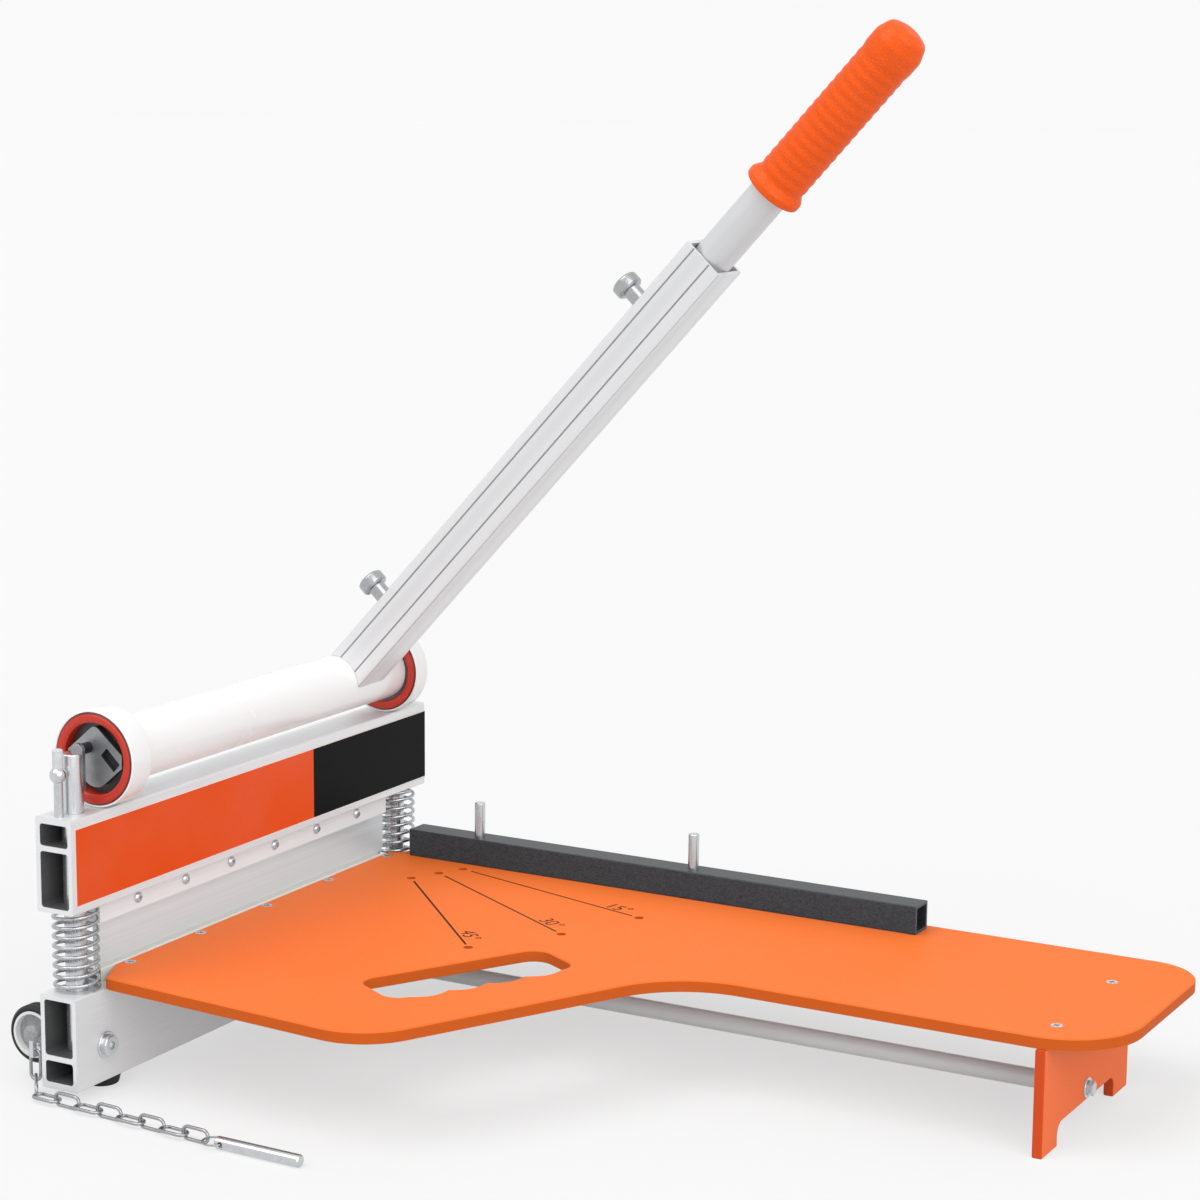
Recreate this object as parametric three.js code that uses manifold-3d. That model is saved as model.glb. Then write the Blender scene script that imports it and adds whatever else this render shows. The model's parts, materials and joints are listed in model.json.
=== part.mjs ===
// Lever-operated laminate cutter: a guillotine press with an eccentric drum, a table with a fence
// and a telescopic handle. Millimetres, +Z up. X runs from the beams out along the table,
// Y runs along the beams, and the floor is at Z = 0.
import * as THREE from 'three';
import { mergeVertices } from 'three/addons/utils/BufferGeometryUtils.js';
import Module from 'manifold-3d';

const wasm = await Module();
wasm.setup();

// Clearances that every piece shares
const seatGap = 0.05;
const fitGap = 0.3;
const cutOverrun = 2;

// The two beams are one extrusion, used twice, the upper one turned over
const beam = {
  length: 405,
  width: 28,
  height: 61,
  sideWall: 3.2,
  smallEndWall: 4.2,
  smallCavity: 14,
  webWall: 3.6,
  largeEndWall: 3.2,
  outerRound: 1.2,
  cavityRound: 2,
};
const openingBetweenBeams = 53.5;

const foot = { radius: 12, height: 7, endInset: 42, taper: 1.5 };

// Guide posts, with the flat that carries each pivot plate
const post = { radius: 7, endInset: 19, riseAboveBeam: 37.8, flatDepth: 2, flatBelowTop: 26, chamfer: 0.8 };
const postBoreGap = 0.3;

const spring = { meanRadius: 13.8, wireRadius: 1.2, turns: 8.5, steps: 8, sides: 5 };

// Eccentric drum: collars roll on the upper beam, the pivot lies off the drum's axis
const drum = {
  eccentricity: 8.3,
  restAngle: THREE.MathUtils.degToRad(35),
  tubeRadius: 20.7,
  tubeWall: 2.6,
  collarRadius: 31,
  collarWall: 1.3,
  front: { fromPost: 15.5, collarDepth: 19 },
  rear: { fromPost: 10.5, collarDepth: 14 },
};
const collarRing = { inner: 23, proud: 0.6 };
const hub = {
  faceRecess: 8,
  bossHeight: 6,
  discDepth: 5,
  bossRadius: 21.6,
  bossShoulderX: 21,
  bossShoulderZ: 4,
  bossApexRound: 4,
  slotWidth: 7.5,
  slotLength: 14,
  slotCornerRound: 1,
  slotAcross: 12,
  slotUp: 0.3,
  slotAngle: THREE.MathUtils.degToRad(-43),
  slotDepth: 5,
};
const pivot = {
  plateThickness: 3,
  plateWidth: 9,
  plateBelow: 25.6,
  pinRadius: 2.7,
  spacerRadius: 3.6,
  pinDepth: 10,
};

// Handle, in its own axes: along it from the drum's axis, across it towards its upper side.
// The outer tube is made to fit round the inner one, and the pieces beyond it follow its end.
const handle = {
  restAngle: THREE.MathUtils.degToRad(47.1),
  collarGap: 28,
  sideGap: 1.2,
  topGap: 0.3,
  wall: 2.3,
  cornerRound: 1.4,
  start: 8,
  end: 421,
  grooveWidth: 1.2,
  grooveDepth: 0.5,
  upperGrooveShare: 0.22,
  lowerGrooveShare: 0.69,
};
const spigot = { radius: 12, start: 12, end: 96 };
const innerTube = { radius: 13, wall: 2, insideLength: 181, outsideLength: 173 };
const grip = {
  fromHandleEnd: 59,
  length: 136,
  radius: 17.5,
  waistRadius: 16.6,
  flangeRadius: 20,
  flangeLength: 4.5,
  flangeSlope: 6,
  domeLength: 12,
  domeShoulderRadius: 13.5,
  capThickness: 8,
};
const thumb = {
  lowerAlong: 68.5,
  upperFromEnd: 58.5,
  stemRadius: 4,
  collarRadius: 6,
  headRadius: 9.5,
  headHeight: 8.8,
  headAboveTube: 12.5,
  headChamfer: 1.2,
};

// Blade, clamped between its holder and a strip by six screws
const blade = {
  thickness: 3,
  springGap: 3.5,
  aboveAnvil: 1,
  bevelHeight: 5,
  edgeThickness: 0.6,
  topGap: 0.5,
};
const holder = { thickness: 7.5, height: 15.5 };
const strip = { thickness: 3, height: 14.5, edgeRound: 0.6 };
const bladeScrew = {
  count: 6,
  endInset: 38.75,
  drop: 7.2,
  headRadius: 3.6,
  headHeight: 2.2,
  shankRadius: 2,
  depth: 5,
};

const anvil = { height: 8.2, beamSide: 8, tableSide: 4.2, grooveGap: 0.7, grooveDepth: 4.2 };

// Table top: its outline's corners, measured from the beams' ends and their middle
const table = {
  thickness: 8,
  anvilGap: 0.3,
  frontCornerInset: 51.5,
  frontCornerX: 17,
  frontLeftInset: 26,
  noseX: 219.8,
  noseInset: 10,
  noseRound: 47,
  waistX: 324.6,
  armFrontY: 12,
  waistRound: 70,
  right: 614,
  backInset: 8,
  armFrontRound: 52,
  armBackRound: 36,
  frontLeftRound: 3,
  edgeBevel: 0.8,
  springNotchGap: 1.4,
};
const tableScrew = {
  count: 5,
  firstInset: 61.5,
  lastInset: 43.5,
  headRadius: 4,
  headDepth: 2.4,
  shankRadius: 2,
  length: 15,
};

// Hand hole beside the slanted edge, from inside the nose to inside the waist
const handHole = {
  fromNoseX: 41.8,
  fromNoseY: 79.6,
  fromWaistX: 81.4,
  fromWaistY: 7.8,
  width: 51.5,
  cornerRound: 12,
  scallops: 4,
  scallopDepth: 5,
  steps: 32,
};

// Fence, its two pins and the pairs of holes that they fit at 0, 45, 30 and 15 degrees.
// The first hole of each slanted pair is placed from the fence's first pin.
const fence = { left: 23, length: 398, size: 19.5, wall: 2, fromTableBack: 7, cornerRound: 1 };
const fencePin = {
  radius: 4,
  studRadius: 3,
  fromFenceEnd: 54,
  spacing: 173,
  aboveFence: 25,
  belowTable: 2,
  chamfer: 0.6,
};
const anglePairs = [
  { angle: THREE.MathUtils.degToRad(45), left: 20, forward: 60.7 },
  { angle: THREE.MathUtils.degToRad(30), left: 10, forward: 39.7 },
  { angle: THREE.MathUtils.degToRad(15), left: 1, forward: 21.7 },
];

// Leg under the far end, and the rod that ties it to the base
const leg = {
  fromTableRight: 42.4,
  thickness: 7,
  beyondArmFront: 0.8,
  fromTableBack: 30,
  footWidth: 26,
  archHeight: 14,
  archRound: 7,
  edgeBevel: 0.7,
};
const legScrewInset = 27;
const rod = { radius: 6, height: 22, studRadius: 2.5, studLength: 8, boreDepth: 17 };
const rodScrew = {
  headRadius: 5,
  headHeight: 4.6,
  shankRadius: 2.5,
  length: 19,
  washerRadius: 6.6,
  washerHeight: 1,
};

// Transport wheels, each on a bracket bolted through the base beam
const wheel = {
  radius: 19,
  width: 12,
  tyreInner: 15.6,
  fromBeam: 23,
  endInset: 24.5,
  z: 31.5,
  hubRadius: 5.5,
  webHalf: 2,
  rimWall: 2,
  capHeight: 2,
  tyreRound: 2,
};
const axle = { radius: 4, reach: 10.5 };
const bracket = {
  thickness: 3,
  height: 25,
  low: 19,
  wheelGap: 1.2,
  flangeInset: 10.5,
  armBeyondAxle: 7,
  boltInset: 28.9,
  boltZ: 31,
};
const bracketBolt = { radius: 2.4, headRadius: 6.6, headHeight: 5, washerRadius: 8.6, washerHeight: 1.4 };
const chainEar = {
  height: 11,
  holeRadius: 3.2,
  centreZ: 29.7,
  centreInset: 4.5,
  frontInset: 0.4,
  offset: 7.25,
};

// Label plate on the upper beam
const label = { thickness: 0.5, bottomInset: 5, topInset: 5.5, frontInset: 2.5 };

// Keeper for the lock pin: a stem with a round nut and a cap, standing on the upper beam
const keeper = {
  x: 0.2,
  endInset: 5.5,
  stemRadius: 3,
  stemHeight: 21,
  nutRadius: 5.8,
  capRadius: 3.4,
  capHeight: 11,
};

// Chain on the lock pin: links of bent wire
const chain = {
  wireRadius: 1.1,
  linkHalfLength: 9.8,
  linkHalfWidth: 3.9,
  sides: 5,
  bendSteps: 3,
  slopeHeading: THREE.MathUtils.degToRad(-50),
  floorHeading: THREE.MathUtils.degToRad(-4),
  floorLinks: 8,
  flatHeight: 3.7,
  uprightHeight: 5.2,
};
const splitRing = { radius: 7.5, wireRadius: 0.9, steps: 20, sides: 5 };
const lockPin = { radius: 4, length: 62, holeInset: 5, chamfer: 1, turn: THREE.MathUtils.degToRad(-1) };

// Facets of round pieces
const fine = 36;
const medium = 20;
const coarse = 10;

// Heights and places that follow from the sizes above
const baseBottom = foot.height;
const baseTop = baseBottom + beam.height;
const upperBottom = baseTop + openingBetweenBeams;
const upperTop = upperBottom + beam.height;
const tableTop = baseTop + table.thickness;
const halfLength = beam.length / 2;
const halfWidth = beam.width / 2;
const postY = halfLength - post.endInset;
const postTop = upperTop + post.riseAboveBeam;
const drumAxis = {
  x: drum.eccentricity * Math.sin(drum.restAngle),
  z: upperTop + drum.collarRadius + fitGap,
};
const pivotZ = drumAxis.z + drum.eccentricity * Math.cos(drum.restAngle);
const anvilTop = baseTop + anvil.height;
const bladeEdge = anvilTop + blade.aboveAnvil;
const bladeHalf = postY - spring.meanRadius - spring.wireRadius - blade.springGap;
const handleDepth = 2 * (innerTube.radius + handle.sideGap + handle.wall);
const handleHeight = 2 * (innerTube.radius + handle.topGap + handle.wall);
const handleY = postY - drum.rear.fromPost - drum.rear.collarDepth - handle.collarGap - handleDepth / 2;
const gripStart = handle.end + grip.fromHandleEnd;
const gripEnd = gripStart + grip.length;
const boltY = halfLength - bracket.boltInset;
const tableLeft = anvil.tableSide + table.anvilGap;
const tableBack = halfLength - table.backInset;
const noseY = -halfLength + table.noseInset;
const legOuterX = table.right - leg.fromTableRight;
const legInnerX = legOuterX - leg.thickness;
const legFront = table.armFrontY - leg.beyondArmFront;
const legBack = tableBack - leg.fromTableBack;
const fenceBack = tableBack - fence.fromTableBack;
const fenceFront = fenceBack - fence.size;
const fenceMiddleY = (fenceFront + fenceBack) / 2;
const fencePinXs = [0, fencePin.spacing].map((along) => fence.left + fencePin.fromFenceEnd + along);
const wheelX = -halfWidth - wheel.fromBeam;

// The object's own origin lies under the middle of its length and width
const originX = (wheelX - wheel.radius + table.right) / 2;

function finish(color, roughness, metalness) {
  return new THREE.MeshStandardMaterial({ color, roughness, metalness });
}

const aluminium = finish(0xd9dbdd, 0.35, 0.9);
const steel = finish(0xb9bcbf, 0.28, 1);
const springSteel = finish(0xa9adb1, 0.3, 1);
const bladeSteel = finish(0xc3cdd2, 0.22, 1);
const whiteCoat = finish(0xf2f0f1, 0.25, 0);
const redRubber = finish(0xd23a26, 0.5, 0);
const castGrey = finish(0x8b9094, 0.55, 0.7);
const orangeBoard = finish(0xf26a20, 0.5, 0);
const orangeGrip = finish(0xf2560f, 0.6, 0);
const blackRubber = finish(0x1b1c1d, 0.8, 0);
const fenceBlack = finish(0x2f3336, 0.5, 0.3);
const ivoryNylon = finish(0xefe6d2, 0.5, 0);
const whitePlastic = finish(0xe6e6e4, 0.5, 0);

// Solid helpers
function toSolid(geometry) {
  const bare = geometry.clone();
  bare.deleteAttribute('normal');
  bare.deleteAttribute('uv');
  const merged = mergeVertices(bare);
  return new wasm.Manifold(new wasm.Mesh({
    numProp: 3,
    vertProperties: merged.attributes.position.array,
    triVerts: Uint32Array.from(merged.index.array),
  }));
}

function toGeometry(solid) {
  const out = solid.getMesh();
  const geometry = new THREE.BufferGeometry();
  geometry.setAttribute('position', new THREE.BufferAttribute(out.vertProperties, 3));
  geometry.setIndex(new THREE.BufferAttribute(out.triVerts, 1));
  geometry.computeVertexNormals();
  return geometry;
}

function cut(geometry, ...tools) {
  return toGeometry(tools.reduce((solid, tool) => solid.subtract(toSolid(tool)), toSolid(geometry)));
}

function join(geometry, ...others) {
  return toGeometry(others.reduce((solid, other) => solid.add(toSolid(other)), toSolid(geometry)));
}

function extrudeZ(shape, low, high, bevel = 0, curveSegments = coarse) {
  const geometry = new THREE.ExtrudeGeometry(shape, {
    depth: high - low - 2 * bevel,
    bevelEnabled: bevel > 0,
    bevelThickness: bevel,
    bevelSize: bevel,
    bevelOffset: -bevel,
    bevelSegments: 1,
    curveSegments,
  });
  return geometry.translate(0, 0, low + bevel);
}

// Shapes drawn as (x, z), pushed along Y
function extrudeY(shape, low, high, bevel, curveSegments) {
  return extrudeZ(shape, -high, -low, bevel, curveSegments).rotateX(Math.PI / 2);
}

// Shapes drawn as (y, z), pushed along X
const intoX = new THREE.Matrix4().makeBasis(
  new THREE.Vector3(0, 1, 0),
  new THREE.Vector3(0, 0, 1),
  new THREE.Vector3(1, 0, 0),
);
function extrudeX(shape, low, high, bevel, curveSegments) {
  return extrudeZ(shape, low, high, bevel, curveSegments).applyMatrix4(intoX);
}

function block(xLow, xHigh, yLow, yHigh, zLow, zHigh) {
  const geometry = new THREE.BoxGeometry(xHigh - xLow, yHigh - yLow, zHigh - zLow);
  return geometry.translate((xLow + xHigh) / 2, (yLow + yHigh) / 2, (zLow + zHigh) / 2);
}

// A round bar from one height to another, turned to lie along the named axis
function bar(axis, radius, low, high, facets = medium) {
  const geometry = new THREE.CylinderGeometry(radius, radius, high - low, facets);
  geometry.translate(0, (low + high) / 2, 0);
  return alongAxis(geometry, axis);
}

// Points of a lathe profile are [radius, height]
function turned(axis, profile, facets = medium) {
  const geometry = new THREE.LatheGeometry(profile.map(([r, h]) => new THREE.Vector2(r, h)), facets);
  return alongAxis(geometry, axis);
}

function alongAxis(geometry, axis) {
  if (axis === 'x') return geometry.rotateZ(-Math.PI / 2);
  if (axis === 'z') return geometry.rotateX(Math.PI / 2);
  return geometry;
}

function roundedRectangle(xLow, xHigh, yLow, yHigh, round) {
  const shape = new THREE.Shape();
  shape.moveTo(xLow + round, yLow);
  shape.lineTo(xHigh - round, yLow);
  shape.absarc(xHigh - round, yLow + round, round, -Math.PI / 2, 0);
  shape.lineTo(xHigh, yHigh - round);
  shape.absarc(xHigh - round, yHigh - round, round, 0, Math.PI / 2);
  shape.lineTo(xLow + round, yHigh);
  shape.absarc(xLow + round, yHigh - round, round, Math.PI / 2, Math.PI);
  shape.lineTo(xLow, yLow + round);
  shape.absarc(xLow + round, yLow + round, round, Math.PI, 1.5 * Math.PI);
  return shape;
}

// A polygon whose corners are arcs: each corner is [x, y, radius]
function roundedPolygon(corners) {
  const shape = new THREE.Shape();
  corners.forEach(([x, y, round], i) => {
    const here = new THREE.Vector2(x, y);
    const [px, py] = corners[(i + corners.length - 1) % corners.length];
    const [nx, ny] = corners[(i + 1) % corners.length];
    const back = new THREE.Vector2(px, py).sub(here).normalize();
    const ahead = new THREE.Vector2(nx, ny).sub(here).normalize();
    const half = Math.acos(THREE.MathUtils.clamp(back.dot(ahead), -1, 1)) / 2;
    const setback = round / Math.tan(half);
    const from = here.clone().addScaledVector(back, setback);
    const to = here.clone().addScaledVector(ahead, setback);
    const centre = back.clone().add(ahead).normalize().multiplyScalar(round / Math.sin(half)).add(here);
    if (i === 0) shape.moveTo(from.x, from.y);
    else shape.lineTo(from.x, from.y);
    if (round > 0) {
      const clockwise = back.cross(ahead) > 0;
      const start = Math.atan2(from.y - centre.y, from.x - centre.x);
      const end = Math.atan2(to.y - centre.y, to.x - centre.x);
      shape.absarc(centre.x, centre.y, round, start, end, clockwise);
    }
  });
  return shape;
}

// A closed wire loop: points are the centre line, and every section stands across it
function wireLoop(points, radius, sides) {
  const count = points.length;
  const centre = points.reduce((sum, p) => sum.add(p), new THREE.Vector3()).divideScalar(count);
  const flat = new THREE.Vector3().crossVectors(
    points[0].clone().sub(centre),
    points[Math.floor(count / 4)].clone().sub(centre),
  ).normalize();
  const position = [];
  points.forEach((p, i) => {
    const before = points[(i + count - 1) % count];
    const after = points[(i + 1) % count];
    const tangent = after.clone().sub(before).normalize();
    const outward = new THREE.Vector3().crossVectors(tangent, flat).normalize();
    for (let k = 0; k < sides; k += 1) {
      const turn = (2 * Math.PI * k) / sides;
      const q = p.clone()
        .addScaledVector(outward, radius * Math.cos(turn))
        .addScaledVector(flat, radius * Math.sin(turn));
      position.push(q.x, q.y, q.z);
    }
  });
  const index = [];
  for (let i = 0; i < count; i += 1) {
    const j = (i + 1) % count;
    for (let k = 0; k < sides; k += 1) {
      const m = (k + 1) % sides;
      index.push(i * sides + k, j * sides + k, i * sides + m);
      index.push(i * sides + m, j * sides + k, j * sides + m);
    }
  }
  const geometry = new THREE.BufferGeometry();
  geometry.setAttribute('position', new THREE.Float32BufferAttribute(position, 3));
  geometry.setIndex(index);
  return geometry;
}

// Groups: the whole cutter, the drum on its axis, and the handle on the drum
const cutter = new THREE.Group();
cutter.position.x = -originX;
const drumGroup = new THREE.Group();
drumGroup.position.set(drumAxis.x, 0, drumAxis.z);
const handleGroup = new THREE.Group();
handleGroup.position.y = handleY;
handleGroup.rotation.y = -handle.restAngle;
drumGroup.add(handleGroup);
cutter.add(drumGroup);

function place(group, name, geometry, material) {
  const mesh = new THREE.Mesh(geometry, material);
  mesh.name = name;
  group.add(mesh);
  return mesh;
}

const ends = [
  { end: 'front', side: -1 },
  { end: 'rear', side: 1 },
];

// Turns a piece drawn for the rear end into the one for the front end
function towards(side, geometry) {
  return side > 0 ? geometry : geometry.rotateZ(Math.PI);
}

// Extruded beam with two open cavities; smallFirst puts the small cavity at its bottom
function beamSolid(low, smallFirst) {
  const high = low + beam.height;
  const shape = roundedRectangle(-halfWidth, halfWidth, low, high, beam.outerRound);
  const inner = halfWidth - beam.sideWall;
  const small = smallFirst
    ? [low + beam.smallEndWall, low + beam.smallEndWall + beam.smallCavity]
    : [high - beam.smallEndWall - beam.smallCavity, high - beam.smallEndWall];
  const large = smallFirst
    ? [small[1] + beam.webWall, high - beam.largeEndWall]
    : [low + beam.largeEndWall, small[0] - beam.webWall];
  for (const [bottom, top] of [small, large]) {
    shape.holes.push(roundedRectangle(-inner, inner, bottom, top, beam.cavityRound));
  }
  return { geometry: extrudeY(shape, -halfLength, halfLength, 0, 3), small, large };
}

const lower = beamSolid(baseBottom, true);
const upper = beamSolid(upperBottom, false);

const tableScrewX = (tableLeft + halfWidth) / 2;
const tableScrewYs = Array.from({ length: tableScrew.count }, (_, i) => THREE.MathUtils.lerp(
  -halfLength + tableScrew.firstInset,
  halfLength - tableScrew.lastInset,
  i / (tableScrew.count - 1),
));
const legMiddleY = (legFront + legBack) / 2;

function buildBase() {
  const holes = [];
  for (const { side } of ends) {
    const bore = bar('z', post.radius + postBoreGap, lower.large[0] + seatGap, baseTop + cutOverrun);
    holes.push(bore.translate(0, side * postY, 0));
    const through = halfWidth + cutOverrun;
    const boltHole = bar('x', bracketBolt.radius + fitGap, -through, through, coarse);
    holes.push(boltHole.translate(0, side * boltY, bracket.boltZ));
  }
  for (const y of tableScrewYs) {
    const holeLow = tableTop - tableScrew.length - fitGap;
    const hole = bar('z', tableScrew.shankRadius + fitGap, holeLow, baseTop + cutOverrun, coarse);
    holes.push(hole.translate(tableScrewX, y, 0));
  }
  const wallInner = halfWidth - beam.sideWall;
  const studHole = bar('x', rod.studRadius + fitGap, wallInner - cutOverrun, halfWidth + cutOverrun);
  holes.push(studHole.translate(0, legMiddleY, rod.height));
  place(cutter, 'base_beam', cut(lower.geometry, ...holes), aluminium);

  for (const { end, side } of ends) {
    const pad = turned('z', [
      [0, -seatGap],
      [foot.radius, -seatGap],
      [foot.radius - foot.taper, -foot.height],
      [0, -foot.height],
    ].reverse());
    pad.translate(0, side * (halfLength - foot.endInset), baseBottom);
    place(cutter, `rubber_foot_${end}`, pad, blackRubber);
  }
}

function buildPosts() {
  for (const { end, side } of ends) {
    const shaft = turned('z', [
      [0, lower.large[0] + 2 * seatGap],
      [post.radius, lower.large[0] + 2 * seatGap],
      [post.radius, postTop - post.chamfer],
      [post.radius - post.chamfer, postTop],
      [0, postTop],
    ]);
    const flat = block(
      -post.radius - cutOverrun,
      post.radius + cutOverrun,
      -post.radius - cutOverrun,
      -post.radius + post.flatDepth,
      postTop - post.flatBelowTop,
      postTop + cutOverrun,
    );
    place(cutter, `guide_post_${end}`, towards(side, cut(shaft, flat)).translate(0, side * postY, 0), steel);

    // Plate on the flat, with the pivot pin and its spacer riveted in
    const plateOuter = postY - post.radius + post.flatDepth - seatGap;
    const plateInner = plateOuter - pivot.plateThickness;
    const halfPlate = pivot.plateWidth / 2;
    const outline = new THREE.Shape();
    outline.moveTo(-halfPlate, pivotZ - pivot.plateBelow);
    outline.lineTo(halfPlate, pivotZ - pivot.plateBelow);
    outline.lineTo(halfPlate, pivotZ);
    outline.absarc(0, pivotZ, halfPlate, 0, Math.PI);
    const plate = extrudeY(outline, plateInner, plateOuter);
    const bossFace = postY - drum[end].fromPost + collarRing.proud - hub.faceRecess + hub.bossHeight;
    const spacer = bar('y', pivot.spacerRadius, bossFace + fitGap, plateInner + seatGap);
    const pin = bar('y', pivot.pinRadius, bossFace - pivot.pinDepth, plateOuter);
    const pivotPin = join(spacer, pin).translate(0, 0, pivotZ);
    place(cutter, `pivot_plate_${end}`, towards(side, join(plate, pivotPin)), steel);
  }
}

// Coil spring as one tube along a helix, with its least gap to itself measured on its points
function springGeometry() {
  const low = baseTop + fitGap + spring.wireRadius;
  const high = upperBottom - fitGap - spring.wireRadius;
  const count = Math.round(spring.turns * spring.steps);
  const centres = [];
  for (let i = 0; i <= count; i += 1) {
    const turn = (2 * Math.PI * spring.turns * i) / count;
    centres.push(new THREE.Vector3(
      spring.meanRadius * Math.cos(turn),
      spring.meanRadius * Math.sin(turn),
      low + ((high - low) * i) / count,
    ));
  }
  const up = new THREE.Vector3(0, 0, 1);
  const position = [];
  for (const p of centres) {
    const outward = new THREE.Vector3(p.x, p.y, 0).normalize();
    for (let k = 0; k < spring.sides; k += 1) {
      const turn = (2 * Math.PI * k) / spring.sides;
      const q = p.clone()
        .addScaledVector(outward, spring.wireRadius * Math.cos(turn))
        .addScaledVector(up, spring.wireRadius * Math.sin(turn));
      position.push(q.x, q.y, q.z);
    }
  }
  const index = [];
  for (let i = 0; i < count; i += 1) {
    for (let k = 0; k < spring.sides; k += 1) {
      const m = (k + 1) % spring.sides;
      const here = i * spring.sides;
      const next = here + spring.sides;
      index.push(here + k, next + k, here + m);
      index.push(here + m, next + k, next + m);
    }
  }
  const last = count * spring.sides;
  for (let k = 1; k < spring.sides - 1; k += 1) {
    index.push(0, k, k + 1);
    index.push(last, last + k + 1, last + k);
  }
  let least = Infinity;
  for (let i = 0; i < centres.length; i += 1) {
    for (let j = i + spring.steps / 2; j < centres.length; j += 1) {
      least = Math.min(least, centres[i].distanceTo(centres[j]) - 2 * spring.wireRadius);
    }
  }
  const geometry = new THREE.BufferGeometry();
  geometry.setAttribute('position', new THREE.Float32BufferAttribute(position, 3));
  geometry.setIndex(index);
  return { geometry, least };
}

function buildSprings() {
  for (const { end, side } of ends) {
    const { geometry, least } = springGeometry();
    console.log(`return_spring_${end}: least gap between its turns ${least.toFixed(2)} mm`);
    place(cutter, `return_spring_${end}`, towards(side, geometry).translate(0, side * postY, 0), springSteel);
  }
}

const holderLow = upperBottom - seatGap - holder.height;
const stripLow = upperBottom - fitGap - strip.height;
const bladeScrewZ = upperBottom - bladeScrew.drop;
const bladeScrewYs = Array.from({ length: bladeScrew.count }, (_, i) => THREE.MathUtils.lerp(
  -bladeHalf + bladeScrew.endInset,
  bladeHalf - bladeScrew.endInset,
  i / (bladeScrew.count - 1),
));

function buildUpperBeam() {
  const bores = ends.map(({ side }) => {
    const bore = bar('z', post.radius + postBoreGap, upperBottom - cutOverrun, upperTop + cutOverrun);
    return bore.translate(0, side * postY, 0);
  });
  place(cutter, 'upper_beam', cut(upper.geometry, ...bores), aluminium);

  const halfBlade = blade.thickness / 2;
  const screwHoles = (low, high) => bladeScrewYs.map((y) => {
    const hole = bar('x', bladeScrew.shankRadius + fitGap, low, high, coarse);
    return hole.translate(0, y, bladeScrewZ);
  });

  const holderInner = -halfBlade - seatGap;
  const holderBar = block(
    holderInner - holder.thickness, holderInner,
    -bladeHalf, bladeHalf,
    holderLow, upperBottom - seatGap,
  );
  const blind = screwHoles(holderInner - bladeScrew.depth - fitGap, holderInner + cutOverrun);
  place(cutter, 'blade_holder', cut(holderBar, ...blind), aluminium);

  const profile = new THREE.Shape();
  profile.moveTo(-halfBlade, upperBottom - blade.topGap);
  profile.lineTo(-halfBlade, bladeEdge + blade.bevelHeight);
  profile.lineTo(-blade.edgeThickness / 2, bladeEdge);
  profile.lineTo(blade.edgeThickness / 2, bladeEdge);
  profile.lineTo(halfBlade, bladeEdge + blade.bevelHeight);
  profile.lineTo(halfBlade, upperBottom - blade.topGap);
  const steelBlade = extrudeY(profile, -bladeHalf, bladeHalf);
  const through = screwHoles(-halfBlade - cutOverrun, halfBlade + cutOverrun);
  place(cutter, 'blade', cut(steelBlade, ...through), bladeSteel);

  const stripInner = halfBlade + seatGap;
  const stripOuter = stripInner + strip.thickness;
  const stripShape = roundedRectangle(
    -bladeHalf, bladeHalf,
    stripLow, upperBottom - fitGap,
    strip.edgeRound,
  );
  const stripBar = extrudeX(stripShape, stripInner, stripOuter, 0, 2);
  const stripHoles = screwHoles(stripInner - cutOverrun, stripOuter + cutOverrun);
  place(cutter, 'clamp_strip', cut(stripBar, ...stripHoles), aluminium);

  bladeScrewYs.forEach((y, i) => {
    const seat = stripOuter + seatGap;
    const screw = turned('x', [
      [0, holderInner - bladeScrew.depth],
      [bladeScrew.shankRadius, holderInner - bladeScrew.depth],
      [bladeScrew.shankRadius, seat],
      [bladeScrew.headRadius, seat],
      [bladeScrew.headRadius, seat + bladeScrew.headHeight / 2],
      [bladeScrew.headRadius / 2, seat + bladeScrew.headHeight],
      [0, seat + bladeScrew.headHeight],
    ], coarse);
    place(cutter, `blade_screw_${i + 1}`, screw.translate(0, y, bladeScrewZ), steel);
  });

  const plate = block(
    halfWidth + seatGap, halfWidth + seatGap + label.thickness,
    -halfLength + label.frontInset, halfLength,
    upperBottom + label.bottomInset, upperTop - label.topInset,
  );
  place(cutter, 'label_plate', plate, orangeBoard);

  const foot0 = upperTop + seatGap;
  const nutCentre = foot0 + keeper.stemHeight + keeper.nutRadius;
  const nutSteps = 5;
  const nut = Array.from({ length: nutSteps + 1 }, (_, i) => {
    const start = Math.asin(keeper.stemRadius / keeper.nutRadius);
    const turn = start + ((Math.PI - 2 * start) * i) / nutSteps;
    return [keeper.nutRadius * Math.sin(turn), nutCentre - keeper.nutRadius * Math.cos(turn)];
  });
  const capLow = nut[nutSteps][1];
  const keeperBolt = turned('z', [
    [0, foot0],
    [keeper.stemRadius, foot0],
    ...nut,
    [keeper.capRadius, capLow + seatGap],
    [keeper.capRadius, capLow + keeper.capHeight],
    [0, capLow + keeper.capHeight],
  ], coarse);
  keeperBolt.translate(keeper.x, -halfLength + keeper.endInset, 0);
  place(cutter, 'lock_keeper', keeperBolt, steel);
}

function buildAnvil() {
  const bar0 = block(-anvil.beamSide, anvil.tableSide, -bladeHalf, bladeHalf, baseTop + seatGap, anvilTop);
  const halfGroove = blade.thickness / 2 + anvil.grooveGap;
  const groove = block(
    -halfGroove, halfGroove,
    -bladeHalf - cutOverrun, bladeHalf + cutOverrun,
    anvilTop - anvil.grooveDepth, anvilTop + cutOverrun,
  );
  place(cutter, 'anvil_strip', cut(bar0, groove), ivoryNylon);
}

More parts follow.
